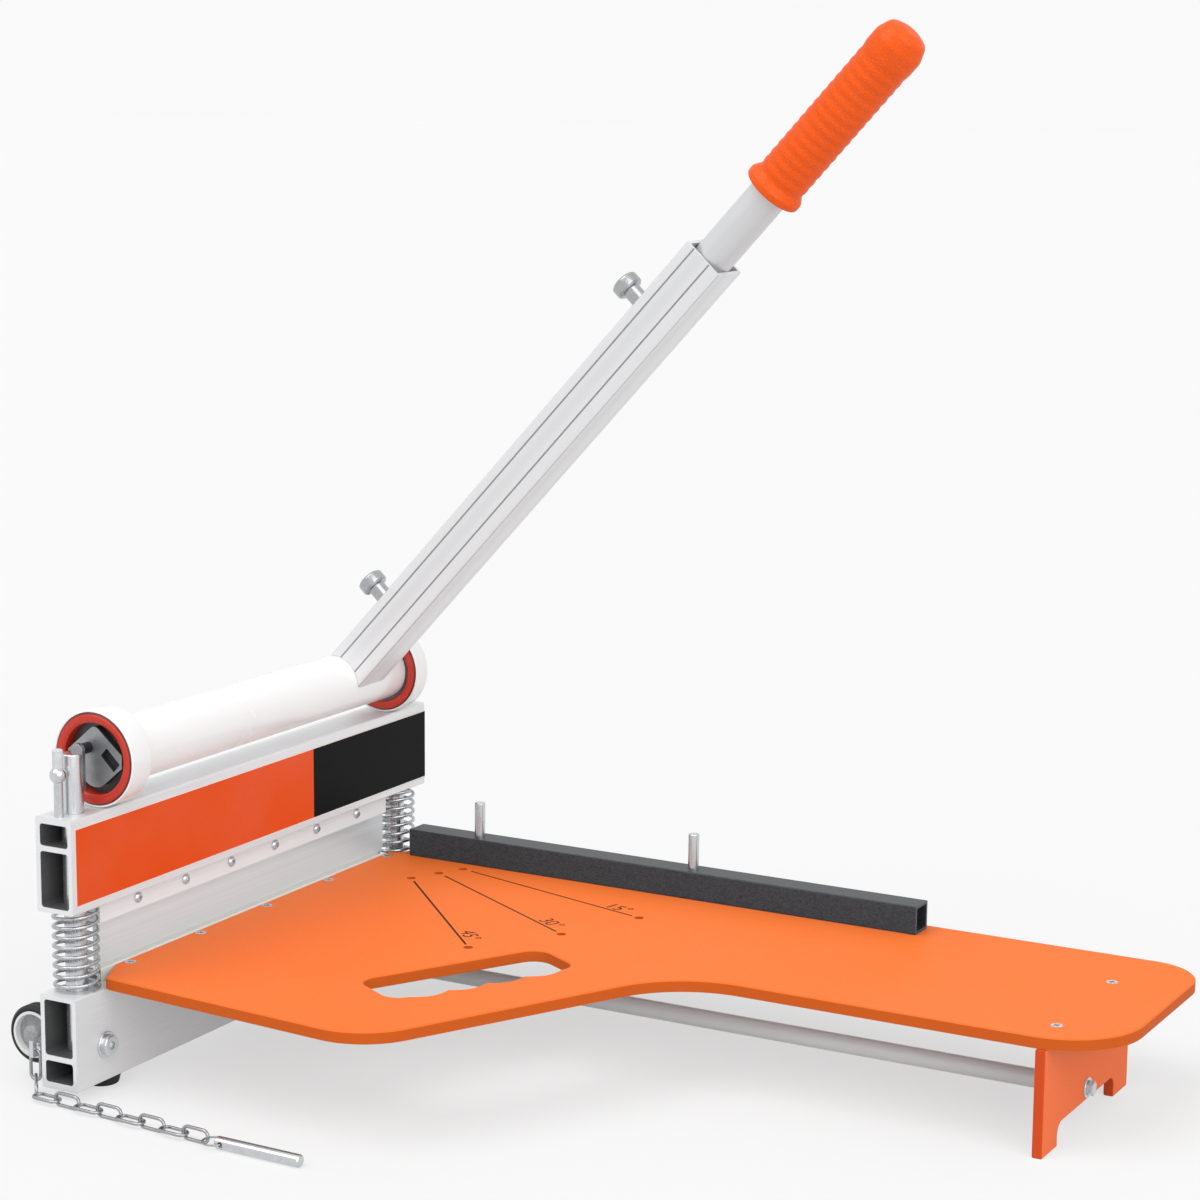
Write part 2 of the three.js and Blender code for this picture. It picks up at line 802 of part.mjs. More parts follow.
// Outline of the table, from the beam side's back corner round to the far end
function tableOutline() {
  return roundedPolygon([
    [tableLeft, tableBack, 0],
    [tableLeft, -halfLength + table.frontCornerInset, table.frontLeftRound],
    [table.frontCornerX, -halfLength + table.frontLeftInset, table.frontLeftRound],
    [table.noseX, noseY, table.noseRound],
    [table.waistX, table.armFrontY, table.waistRound],
    [table.right, table.armFrontY, table.armFrontRound],
    [table.right, tableBack, table.armBackRound],
  ]);
}

// Hand hole: straight far side, rounded corners, and waves on the side nearest the slanted edge
function handHoleShape() {
  const start = new THREE.Vector2(table.noseX - handHole.fromNoseX, noseY + handHole.fromNoseY);
  const end = new THREE.Vector2(table.waistX - handHole.fromWaistX, table.armFrontY - handHole.fromWaistY);
  const along = end.clone().sub(start);
  const length = along.length();
  along.normalize();
  const across = new THREE.Vector2(along.y, -along.x);
  const round = handHole.cornerRound;
  const far = -handHole.width / 2;
  const near = handHole.width / 2 - handHole.scallopDepth;
  const points = [];
  const add = (reach, side) => {
    points.push(start.clone().addScaledVector(along, reach).addScaledVector(across, side));
  };
  const cornerSteps = 5;
  const addCorner = (reach, side, from) => {
    for (let i = 1; i < cornerSteps; i += 1) {
      const turn = from + (Math.PI * i) / (2 * cornerSteps);
      add(reach + round * Math.sin(turn), side + round * Math.cos(turn));
    }
  };
  for (let i = 0; i <= handHole.steps; i += 1) {
    const share = i / handHole.steps;
    const wave = handHole.scallopDepth * Math.abs(Math.sin(Math.PI * handHole.scallops * share));
    add(THREE.MathUtils.lerp(round, length - round, share), near + wave);
  }
  addCorner(length - round, near - round, 0);
  add(length, near - round);
  add(length, far + round);
  addCorner(length - round, far + round, Math.PI / 2);
  add(length - round, far);
  add(round, far);
  addCorner(round, far + round, Math.PI);
  add(0, far + round);
  add(0, near - round);
  addCorner(round, near - round, -Math.PI / 2);
  return new THREE.Shape(points);
}

function pinPlaces() {
  const places = fencePinXs.map((x) => [x, fenceMiddleY]);
  for (const { angle, left, forward } of anglePairs) {
    const x = fencePinXs[0] - left;
    const y = fenceMiddleY - forward;
    places.push([x, y]);
    places.push([x + fencePin.spacing * Math.cos(angle), y - fencePin.spacing * Math.sin(angle)]);
  }
  return places;
}

function countersink(radius, depth, shank, top, gap) {
  return turned('z', [
    [0, top - depth - cutOverrun - table.thickness],
    [shank + gap, top - depth - cutOverrun - table.thickness],
    [shank + gap, top - depth],
    [radius + gap, top],
    [radius + gap, top + cutOverrun],
    [0, top + cutOverrun],
  ], coarse);
}

const legMiddleX = (legInnerX + legOuterX) / 2;
const legScrewYs = [legFront + legScrewInset, legBack - legScrewInset];
const screwPlaces = [
  ...tableScrewYs.map((y) => [tableScrewX, y]),
  ...legScrewYs.map((y) => [legMiddleX, y]),
];

function buildTable() {
  const shape = tableOutline();
  shape.holes.push(handHoleShape());
  const board = extrudeZ(shape, baseTop + seatGap, tableTop, table.edgeBevel);
  const tools = [];
  const notch = spring.meanRadius + spring.wireRadius + table.springNotchGap;
  const notchTool = bar('z', notch, baseTop - cutOverrun, tableTop + cutOverrun, fine);
  tools.push(notchTool.translate(0, postY, 0));
  for (const [x, y] of pinPlaces()) {
    const hole = bar('z', fencePin.studRadius + fitGap, baseTop - cutOverrun, tableTop + cutOverrun, coarse);
    tools.push(hole.translate(x, y, 0));
  }
  for (const [x, y] of screwPlaces) {
    const { headRadius, headDepth, shankRadius } = tableScrew;
    tools.push(countersink(headRadius, headDepth, shankRadius, tableTop, fitGap).translate(x, y, 0));
  }
  place(cutter, 'table', cut(board, ...tools), orangeBoard);

  screwPlaces.forEach(([x, y], i) => {
    const screw = turned('z', [
      [0, tableTop - tableScrew.length],
      [tableScrew.shankRadius, tableTop - tableScrew.length],
      [tableScrew.shankRadius, tableTop - tableScrew.headDepth],
      [tableScrew.headRadius, tableTop - seatGap],
      [0, tableTop - seatGap],
    ], coarse);
    const name = i < tableScrew.count ? `table_screw_${i + 1}` : `leg_screw_${i + 1 - tableScrew.count}`;
    place(cutter, name, screw.translate(x, y, 0), steel);
  });
}

function buildLeg() {
  const outline = roundedPolygon([
    [legFront, 0, 0],
    [legFront + leg.footWidth, 0, 0],
    [legFront + leg.footWidth, leg.archHeight, leg.archRound],
    [legBack - leg.footWidth, leg.archHeight, leg.archRound],
    [legBack - leg.footWidth, 0, 0],
    [legBack, 0, 0],
    [legBack, baseTop, 0],
    [legFront, baseTop, 0],
  ]);
  const panel = extrudeX(outline, legInnerX, legOuterX, leg.edgeBevel);
  const rodHole = bar('x', rodScrew.shankRadius + fitGap, legInnerX - cutOverrun, legOuterX + cutOverrun);
  const tools = [rodHole.translate(0, legMiddleY, rod.height)];
  for (const y of legScrewYs) {
    const holeLow = tableTop - tableScrew.length - fitGap;
    const hole = bar('z', tableScrew.shankRadius + fitGap, holeLow, baseTop + cutOverrun, coarse);
    tools.push(hole.translate(legMiddleX, y, 0));
  }
  place(cutter, 'leg', cut(panel, ...tools), orangeBoard);

  const rodStart = halfWidth + fitGap;
  const rodEnd = legInnerX - fitGap;
  const shaft = turned('x', [
    [0, rodStart - rod.studLength],
    [rod.studRadius, rodStart - rod.studLength],
    [rod.studRadius, rodStart],
    [rod.radius, rodStart],
    [rod.radius, rodEnd],
    [rodScrew.shankRadius + fitGap, rodEnd],
    [rodScrew.shankRadius + fitGap, rodEnd - rod.boreDepth],
    [0, rodEnd - rod.boreDepth],
  ]);
  place(cutter, 'brace_rod', shaft.translate(0, legMiddleY, rod.height), aluminium);

  const seat = legOuterX + seatGap;
  const screw = turned('x', [
    [0, seat - rodScrew.length],
    [rodScrew.shankRadius, seat - rodScrew.length],
    [rodScrew.shankRadius, seat],
    [rodScrew.washerRadius, seat],
    [rodScrew.washerRadius, seat + rodScrew.washerHeight],
    [rodScrew.headRadius, seat + rodScrew.washerHeight],
    [rodScrew.headRadius, seat + rodScrew.headHeight - rodScrew.washerHeight],
    [rodScrew.headRadius / 2, seat + rodScrew.headHeight],
    [0, seat + rodScrew.headHeight],
  ]);
  place(cutter, 'rod_screw', screw.translate(0, legMiddleY, rod.height), steel);
}

function buildFence() {
  const low = tableTop + seatGap;
  const high = low + fence.size;
  const shape = roundedRectangle(fenceFront, fenceBack, low, high, fence.cornerRound);
  shape.holes.push(roundedRectangle(
    fenceFront + fence.wall, fenceBack - fence.wall,
    low + fence.wall, high - fence.wall,
    fence.cornerRound / 2,
  ));
  const tube = extrudeX(shape, fence.left, fence.left + fence.length, 0, 3);
  const shoulder = low + fence.wall + seatGap;
  const holes = fencePinXs.flatMap((x) => [
    bar('z', fencePin.studRadius + seatGap, low - cutOverrun, shoulder + cutOverrun, coarse),
    bar('z', fencePin.radius + seatGap, shoulder + cutOverrun, high + cutOverrun, coarse),
  ].map((hole) => hole.translate(x, fenceMiddleY, 0)));
  place(cutter, 'fence', cut(tube, ...holes), fenceBlack);

  ['left', 'right'].forEach((end, i) => {
    const top = high + fencePin.aboveFence;
    const bottom = baseTop - fencePin.belowTable;
    const pin = turned('z', [
      [0, bottom],
      [fencePin.studRadius - fencePin.chamfer, bottom],
      [fencePin.studRadius, bottom + fencePin.chamfer],
      [fencePin.studRadius, shoulder],
      [fencePin.radius, shoulder],
      [fencePin.radius, top - fencePin.chamfer],
      [fencePin.radius - fencePin.chamfer, top],
      [0, top],
    ], coarse);
    pin.translate(fencePinXs[i], fenceMiddleY, 0);
    place(cutter, `fence_pin_${end}`, pin, steel);
  });
}

// Drum pieces lie on the drum's axis; the pivot is up and to the left of it
const pivotInDrum = { x: -drumAxis.x, z: pivotZ - drumAxis.z };

function hubBossShape() {
  const shape = roundedPolygon([
    [0, hub.bossRadius, hub.bossApexRound],
    [-hub.bossShoulderX, hub.bossShoulderZ, 0],
    [-hub.bossShoulderX, -hub.bossShoulderZ, 0],
    [0, -hub.bossRadius, hub.bossRadius / 2],
    [hub.bossShoulderX, -hub.bossShoulderZ, 0],
    [hub.bossShoulderX, hub.bossShoulderZ, 0],
  ]);
  return shape;
}

function buildDrum() {
  const tubeSeat = hub.faceRecess + hub.discDepth - collarRing.proud + fitGap;
  const tubeFront = -(postY - drum.front.fromPost - tubeSeat);
  const tubeRear = postY - drum.rear.fromPost - tubeSeat;
  const tubeInner = drum.tubeRadius - drum.tubeWall;
  const tube = turned('y', [
    [tubeInner, tubeFront],
    [drum.tubeRadius, tubeFront],
    [drum.tubeRadius, tubeRear],
    [tubeInner, tubeRear],
    [tubeInner, tubeFront],
  ], fine);
  place(drumGroup, 'drum_tube', tube, whiteCoat);

  for (const { end, side } of ends) {
    const face = postY - drum[end].fromPost;
    const back = face - drum[end].collarDepth;
    const sleeveInner = drum.collarRadius - drum.collarWall;
    const sleeve = turned('y', [
      [sleeveInner, back],
      [drum.collarRadius, back],
      [drum.collarRadius, face],
      [sleeveInner, face],
      [sleeveInner, back],
    ], fine);
    place(drumGroup, `drum_collar_${end}`, towards(side, sleeve), whiteCoat);

    const ring = turned('y', [
      [collarRing.inner, back - collarRing.proud],
      [sleeveInner - fitGap, back - collarRing.proud],
      [sleeveInner - fitGap, face + collarRing.proud],
      [collarRing.inner, face + collarRing.proud],
      [collarRing.inner, back - collarRing.proud],
    ], fine);
    place(drumGroup, `collar_ring_${end}`, towards(side, ring), redRubber);

    // Cast hub: a disc that the tube's end sits in, with a raised shield round the pivot bore
    const discFace = face + collarRing.proud - hub.faceRecess;
    const discBack = discFace - hub.discDepth;
    const hubOuter = collarRing.inner - fitGap;
    const disc = turned('y', [
      [0, discBack + fitGap],
      [drum.tubeRadius + fitGap, discBack + fitGap],
      [drum.tubeRadius + fitGap, back],
      [hubOuter, back],
      [hubOuter, discFace],
      [0, discFace],
    ], fine);
    const bossFace = discFace + hub.bossHeight;
    const boss = extrudeY(hubBossShape(), discFace - seatGap, bossFace);
    const bore = bar('y', pivot.pinRadius + fitGap, discBack - cutOverrun, bossFace + cutOverrun);
    bore.translate(side * pivotInDrum.x, 0, pivotInDrum.z);
    const slotShape = roundedRectangle(
      -hub.slotLength / 2, hub.slotLength / 2,
      -hub.slotWidth / 2, hub.slotWidth / 2,
      hub.slotCornerRound,
    );
    const slot = extrudeY(slotShape, bossFace - hub.slotDepth, bossFace + cutOverrun);
    slot.rotateY(-side * hub.slotAngle).translate(side * hub.slotAcross, 0, hub.slotUp);
    place(drumGroup, `drum_hub_${end}`, towards(side, cut(join(disc, boss), bore, slot)), castGrey);
  }
}

// Handle pieces: local X runs along the handle, local Z is its upper side
function buildHandle() {
  const halfDepth = handleDepth / 2;
  const halfHeight = handleHeight / 2;
  const outline = roundedRectangle(-halfDepth, halfDepth, -halfHeight, halfHeight, handle.cornerRound);
  outline.holes.push(roundedRectangle(
    -halfDepth + handle.wall, halfDepth - handle.wall,
    -halfHeight + handle.wall, halfHeight - handle.wall,
    handle.cornerRound / 2,
  ));
  const tube = extrudeX(outline, handle.start, handle.end, 0, 3);
  const saddle = bar('y', drum.tubeRadius + fitGap, -handleDepth, handleDepth, fine);
  const tools = [saddle];
  for (const share of [handle.upperGrooveShare, handle.lowerGrooveShare]) {
    const centre = halfHeight - share * handleHeight;
    tools.push(block(
      -cutOverrun, handle.end + cutOverrun,
      -halfDepth - cutOverrun, -halfDepth + handle.grooveDepth,
      centre - handle.grooveWidth / 2, centre + handle.grooveWidth / 2,
    ));
  }
  const thumbPlaces = { lower: thumb.lowerAlong, upper: handle.end - thumb.upperFromEnd };
  for (const along of Object.values(thumbPlaces)) {
    const wallLow = halfHeight - handle.wall;
    const hole = bar('z', thumb.stemRadius + fitGap, wallLow - cutOverrun, halfHeight + cutOverrun);
    tools.push(hole.translate(along, 0, 0));
  }
  place(handleGroup, 'handle_tube', cut(tube, ...tools), aluminium);

  const stub = bar('x', spigot.radius, spigot.start, spigot.end);
  const saddleInSpigot = bar('y', drum.tubeRadius + fitGap, -handleDepth, handleDepth, fine);
  place(handleGroup, 'handle_spigot', cut(stub, saddleInSpigot), aluminium);

  const bore = innerTube.radius - innerTube.wall;
  const innerStart = handle.end - innerTube.insideLength;
  const innerEnd = handle.end + innerTube.outsideLength;
  const extension = turned('x', [
    [bore, innerStart],
    [innerTube.radius, innerStart],
    [innerTube.radius, innerEnd],
    [bore, innerEnd],
    [bore, innerStart],
  ]);
  place(handleGroup, 'inner_tube', extension, aluminium);

  const gripBore = innerTube.radius + fitGap;
  const gripBody = turned('x', [
    [gripBore, gripStart],
    [grip.flangeRadius, gripStart],
    [grip.flangeRadius, gripStart + grip.flangeLength],
    [grip.waistRadius, gripStart + grip.flangeLength + grip.flangeSlope],
    [grip.radius, (gripStart + gripEnd) / 2],
    [grip.radius, gripEnd - grip.domeLength],
    [grip.domeShoulderRadius, gripEnd - grip.domeLength / 4],
    [grip.domeShoulderRadius / 2, gripEnd],
    [0, gripEnd],
    [0, gripEnd - grip.capThickness],
    [gripBore, gripEnd - grip.capThickness],
    [gripBore, gripStart],
  ]);
  place(handleGroup, 'grip', gripBody, orangeGrip);

  const tips = { lower: spigot.radius, upper: innerTube.radius };
  for (const [end, along] of Object.entries(thumbPlaces)) {
    const headLow = halfHeight + thumb.headAboveTube;
    const headHigh = headLow + thumb.headHeight;
    const screw = turned('z', [
      [0, tips[end] + fitGap],
      [thumb.stemRadius, tips[end] + fitGap],
      [thumb.stemRadius, halfHeight + fitGap],
      [thumb.collarRadius, halfHeight + fitGap],
      [thumb.collarRadius, headLow],
      [thumb.headRadius - thumb.headChamfer, headLow],
      [thumb.headRadius, headLow + thumb.headChamfer],
      [thumb.headRadius, headHigh - thumb.headChamfer],
      [thumb.headRadius - thumb.headChamfer, headHigh],
      [0, headHigh],
    ]);
    place(handleGroup, `thumb_screw_${end}`, screw.translate(along, 0, 0), steel);
  }
}

function buildWheels() {
  for (const { end, side } of ends) {
    const middle = halfLength - wheel.endInset;
    const halfTread = wheel.width / 2;
    const tyre = turned('y', [
      [wheel.tyreInner, -halfTread],
      [wheel.radius - wheel.tyreRound, -halfTread],
      [wheel.radius, -halfTread + wheel.tyreRound],
      [wheel.radius, halfTread - wheel.tyreRound],
      [wheel.radius - wheel.tyreRound, halfTread],
      [wheel.tyreInner, halfTread],
      [wheel.tyreInner, -halfTread],
    ], fine);
    place(cutter, `wheel_tyre_${end}`, tyre.translate(wheelX, side * middle, wheel.z), blackRubber);

    // The hub is drawn with its closed cap towards +Y; the axle enters from the other face
    const rim = wheel.tyreInner - fitGap;
    const bore = axle.radius + fitGap;
    const hubSolid = turned('y', [
      [bore, -halfTread],
      [wheel.hubRadius, -halfTread],
      [wheel.hubRadius, -wheel.webHalf],
      [rim - wheel.rimWall, -wheel.webHalf],
      [rim - wheel.rimWall, -halfTread],
      [rim, -halfTread],
      [rim, halfTread],
      [rim - wheel.rimWall, halfTread],
      [rim - wheel.rimWall, wheel.webHalf],
      [wheel.hubRadius, wheel.webHalf],
      [wheel.hubRadius, halfTread + wheel.capHeight / 2],
      [wheel.hubRadius / 2, halfTread + wheel.capHeight],
      [0, halfTread + wheel.capHeight],
      [0, axle.reach - halfTread + fitGap],
      [bore, axle.reach - halfTread + fitGap],
      [bore, -halfTread],
    ]);
    const hubTurned = side > 0 ? hubSolid : hubSolid.rotateX(Math.PI);
    place(cutter, `wheel_hub_${end}`, hubTurned.translate(wheelX, side * middle, wheel.z), whitePlastic);

    // Bracket: a flange on the beam and an arm behind the wheel that carries the stub axle
    const armOuter = middle - halfTread - bracket.wheelGap;
    const armInner = armOuter - bracket.thickness;
    const flangeOuter = -halfWidth - seatGap;
    const flangeX = flangeOuter - bracket.thickness;
    const flangeEnd = halfLength - bracket.flangeInset;
    const top = bracket.low + bracket.height;
    const flange = block(flangeX, flangeOuter, armInner, flangeEnd, bracket.low, top);
    const arm = block(wheelX - bracket.armBeyondAxle, flangeOuter, armInner, armOuter, bracket.low, top);
    const stub = bar('y', axle.radius, armInner + seatGap, armOuter + bracket.wheelGap + axle.reach);
    const pieces = [arm, stub.translate(wheelX, 0, wheel.z)];
    const holeRadius = bracketBolt.radius + fitGap;
    const boltHole = bar('x', holeRadius, flangeX - cutOverrun, flangeOuter + cutOverrun, coarse);
    const tools = [boltHole.translate(0, boltY, bracket.boltZ)];
    if (side < 0) {
      const earLow = chainEar.centreZ - chainEar.height / 2;
      const earHigh = chainEar.centreZ + chainEar.height / 2;
      const earX = flangeX - chainEar.offset;
      const stepStart = flangeEnd - bracket.thickness;
      pieces.push(block(earX, flangeOuter, stepStart, flangeEnd, earLow, earHigh));
      const earFront = halfLength - chainEar.frontInset;
      pieces.push(block(earX, earX + bracket.thickness, stepStart, earFront, earLow, earHigh));
      const eye = bar('x', chainEar.holeRadius, earX - cutOverrun, earX + bracket.thickness + cutOverrun);
      tools.push(eye.translate(0, halfLength - chainEar.centreInset, chainEar.centreZ));
    }
    const drawn = cut(join(flange, ...pieces), ...tools);
    const solid = side > 0 ? drawn : flipped(drawn.scale(1, -1, 1));
    place(cutter, `wheel_bracket_${end}`, solid, steel);

    const seat = halfWidth + seatGap;
    const bolt = turned('x', [
      [0, flangeX + seatGap],
      [bracketBolt.radius, flangeX + seatGap],
      [bracketBolt.radius, seat],
      [bracketBolt.washerRadius, seat],
      [bracketBolt.washerRadius, seat + bracketBolt.washerHeight],
      [bracketBolt.headRadius, seat + bracketBolt.washerHeight],
      [bracketBolt.headRadius, seat + bracketBolt.headHeight],
      [0, seat + bracketBolt.headHeight],
    ], coarse);
    bolt.translate(0, side * boltY, bracket.boltZ);
    place(cutter, `bracket_bolt_${end}`, bolt, steel);
  }
}

// A mirrored geometry needs its triangles turned over
function flipped(geometry) {
  const index = geometry.index.array;
  for (let i = 0; i < index.length; i += 3) {
    const swap = index[i + 1];
    index[i + 1] = index[i + 2];
    index[i + 2] = swap;
  }
  geometry.computeVertexNormals();
  return geometry;
}

// One chain link lying in the plane of its long and wide directions
function linkPoints(centre, long, wide) {
  const straight = chain.linkHalfLength - chain.linkHalfWidth;
  const points = [];
  for (const sign of [1, -1]) {
    for (let i = 0; i <= chain.bendSteps; i += 1) {
      const turn = -Math.PI / 2 + (Math.PI * i) / chain.bendSteps;
      const l = sign * (straight + chain.linkHalfWidth * Math.cos(turn));
      const w = sign * chain.linkHalfWidth * Math.sin(turn);
      points.push(centre.clone().addScaledVector(long, l).addScaledVector(wide, w));
    }
  }
  return points;
}

function buildChain() {
  const pitch = 2 * (chain.linkHalfLength - chain.wireRadius);
  const alongX = new THREE.Vector3(1, 0, 0);
  const alongZ = new THREE.Vector3(0, 0, 1);

  // The first link hangs in the bracket's ear
  const earX = -halfWidth - seatGap - bracket.thickness / 2 - chainEar.offset;
  const hangTop = chainEar.centreZ - chainEar.holeRadius + chain.wireRadius + 2 * fitGap;
  const hang = new THREE.Vector3(earX, -halfLength + chainEar.centreInset, hangTop - chain.linkHalfLength);
  const links = [[hang, alongZ, alongX]];

  // The second slopes from it to the floor in front of the beam
  const hook = new THREE.Vector3(hang.x, hang.y, hang.z - chain.linkHalfLength);
  const fall = Math.asin((hook.z - chain.uprightHeight) / pitch);
  const slope = new THREE.Vector3(
    Math.cos(fall) * Math.cos(chain.slopeHeading),
    Math.cos(fall) * Math.sin(chain.slopeHeading),
    -Math.sin(fall),
  );
  const slopeUp = new THREE.Vector3(
    Math.sin(fall) * Math.cos(chain.slopeHeading),
    Math.sin(fall) * Math.sin(chain.slopeHeading),
    Math.cos(fall),
  );
  const slopeStart = hook.clone().addScaledVector(slope, -chain.wireRadius);
  links.push([slopeStart.clone().addScaledVector(slope, pitch / 2), slope, slopeUp]);

  const run = new THREE.Vector3(Math.cos(chain.floorHeading), Math.sin(chain.floorHeading), 0);
  const across = new THREE.Vector3(-run.y, run.x, 0);
  const floorStart = slopeStart.clone().addScaledVector(slope, pitch).setZ(0);
  for (let i = 0; i < chain.floorLinks; i += 1) {
    const upright = i % 2 === 1;
    const centre = floorStart.clone().addScaledVector(run, pitch * i + pitch / 2);
    centre.setZ(upright ? chain.uprightHeight : chain.flatHeight);
    links.push([centre, run, upright ? alongZ : across]);
  }
  const solids = links.map((link) => wireLoop(linkPoints(...link), chain.wireRadius, chain.sides));
  place(cutter, 'lock_chain', join(...solids), steel);

  // The split ring hooks the last link and passes through the lock pin's cross hole
  const reach = pitch * chain.floorLinks - 2 * fitGap - splitRing.wireRadius + splitRing.radius;
  const ringCentre = floorStart.clone().addScaledVector(run, reach).setZ(lockPin.radius);
  const { radius, wireRadius, sides, steps } = splitRing;
  const ring = new THREE.TorusGeometry(radius, wireRadius, sides, steps);
  place(cutter, 'split_ring', ring.translate(ringCentre.x, ringCentre.y, ringCentre.z), steel);

  const sag = splitRing.radius - Math.sqrt(splitRing.radius ** 2 - lockPin.radius ** 2);
  const pinGroup = new THREE.Group();
  pinGroup.position.copy(ringCentre);
  pinGroup.rotation.z = lockPin.turn;
  const holeX = splitRing.radius - sag / 2;
  const near = holeX - lockPin.holeInset;
  const far = near + lockPin.length;
  const body = turned('x', [
    [0, near],
    [lockPin.radius - lockPin.chamfer, near],
    [lockPin.radius, near + lockPin.chamfer],
    [lockPin.radius, far - lockPin.chamfer],
    [lockPin.radius - lockPin.chamfer, far],
    [0, far],
  ]);
  const holeRadius = splitRing.wireRadius + sag / 2 + fitGap;
  const crossHole = bar('y', holeRadius, -lockPin.radius - cutOverrun, lockPin.radius + cutOverrun, coarse);
  place(pinGroup, 'lock_pin', cut(body, crossHole.translate(holeX, 0, 0)), steel);
  cutter.add(pinGroup);
}

buildBase();
buildPosts();
buildSprings();
buildUpperBeam();
buildAnvil();
buildTable();
buildLeg();
buildFence();
buildDrum();
buildHandle();
buildWheels();
buildChain();

export default cutter;
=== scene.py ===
import json
import math

import bmesh
import bpy
from mathutils import Matrix, Vector


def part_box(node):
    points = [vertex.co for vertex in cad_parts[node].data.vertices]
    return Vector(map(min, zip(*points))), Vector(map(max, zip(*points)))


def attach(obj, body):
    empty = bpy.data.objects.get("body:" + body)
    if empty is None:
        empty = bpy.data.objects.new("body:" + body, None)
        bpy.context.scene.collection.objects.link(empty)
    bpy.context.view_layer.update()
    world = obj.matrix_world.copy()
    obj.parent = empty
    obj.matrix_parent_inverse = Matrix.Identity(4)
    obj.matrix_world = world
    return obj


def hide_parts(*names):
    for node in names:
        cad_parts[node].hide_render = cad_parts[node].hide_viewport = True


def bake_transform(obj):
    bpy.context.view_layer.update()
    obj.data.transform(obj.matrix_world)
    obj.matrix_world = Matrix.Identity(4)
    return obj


bl_info = {
    "name": "Laminate Cutter",
    "version": (1, 0, 0),
    "blender": (4, 5, 0),
    "location": "View3D > Sidebar > Cutter",
    "description": "Finishes the laminate cutter's pieces and sets up its stage",
    "category": "Object",
}

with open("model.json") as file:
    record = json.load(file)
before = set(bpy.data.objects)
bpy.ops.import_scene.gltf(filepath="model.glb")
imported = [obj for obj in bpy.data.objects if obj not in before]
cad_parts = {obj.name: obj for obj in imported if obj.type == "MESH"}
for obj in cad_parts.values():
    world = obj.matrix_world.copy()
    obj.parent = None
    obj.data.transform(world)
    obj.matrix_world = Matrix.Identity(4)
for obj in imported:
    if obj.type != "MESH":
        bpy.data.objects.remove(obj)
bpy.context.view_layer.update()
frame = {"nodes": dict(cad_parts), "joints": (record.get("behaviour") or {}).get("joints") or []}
nodes = frame["nodes"]

X, Y, Z = Vector((1, 0, 0)), Vector((0, 1, 0)), Vector((0, 0, 1))
AS_MADE = Matrix.Identity(4)
# The two ends of the beams, and the side of each along Y
ENDS = (("front", -1), ("rear", 1))


def middle_of(node):
    low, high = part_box(node)
    return (low + high) / 2


def round_node(node, axis):
    """Where a round CAD node starts along its axis, and its length and radius"""
    low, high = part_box(node)
    along, across = "xyz".index(axis), 2 if axis == "x" else 0
    start = (low + high) / 2
    start[along] = low[along]
    return start, high[along] - low[along], (high[across] - low[across]) / 2


def joint_named(name):
    return next(joint for joint in frame["joints"] if joint["name"] == name)


# ---- settings

def colour_setting(name, description, default):
    return bpy.props.FloatVectorProperty(
        name=name, description=description, subtype="COLOR", size=3, min=0, max=1, default=default)


def length_setting(name, description, low, high, default):
    return bpy.props.FloatProperty(
        name=name, description=description, subtype="DISTANCE", unit="LENGTH", min=low, max=high,
        default=default)


def angle_setting(name, description, degrees):
    return bpy.props.FloatProperty(
        name=name, description=description, subtype="ANGLE", unit="ROTATION", default=math.radians(degrees))


class CutterColours(bpy.types.PropertyGroup):
    """Colours of the cutter's finishes"""

    board: colour_setting("Board", "Orange of the table", (1.0, 0.205, 0.034))
    board_edge: colour_setting("Board edge", "Deeper orange of the table's sawn edges", (0.62, 0.105, 0.010))
    leg: colour_setting("Leg", "Orange of the leg's broad faces", (1.0, 0.19, 0.052))
    leg_edge: colour_setting("Leg edge", "Red-orange of the leg's sawn edges", (0.66, 0.068, 0.014))
    label: colour_setting("Label", "Orange of the plate on the upper beam", (0.86, 0.085, 0.007))
    grip: colour_setting("Grip", "Orange of the rubber grip", (1.0, 0.115, 0.005))
    ring: colour_setting("Drum ring", "Red of the rings in the drum's collars", (0.64, 0.035, 0.014))
    drum: colour_setting("Drum", "White coat of the drum", (0.95, 0.945, 0.945))
    aluminium: colour_setting("Aluminium", "Satin aluminium of the beams and the handle", (0.85, 0.855, 0.87))
    steel: colour_setting("Steel", "Bright steel of posts, pins and screws", (0.62, 0.63, 0.65))
    fence: colour_setting("Fence", "Dark anodised fence", (0.024, 0.028, 0.033))
    tyre: colour_setting("Tyre", "Black rubber of the tyres and feet", (0.012, 0.012, 0.013))
    backdrop: colour_setting("Backdrop", "Colour of the floor", (0.90, 0.90, 0.90))


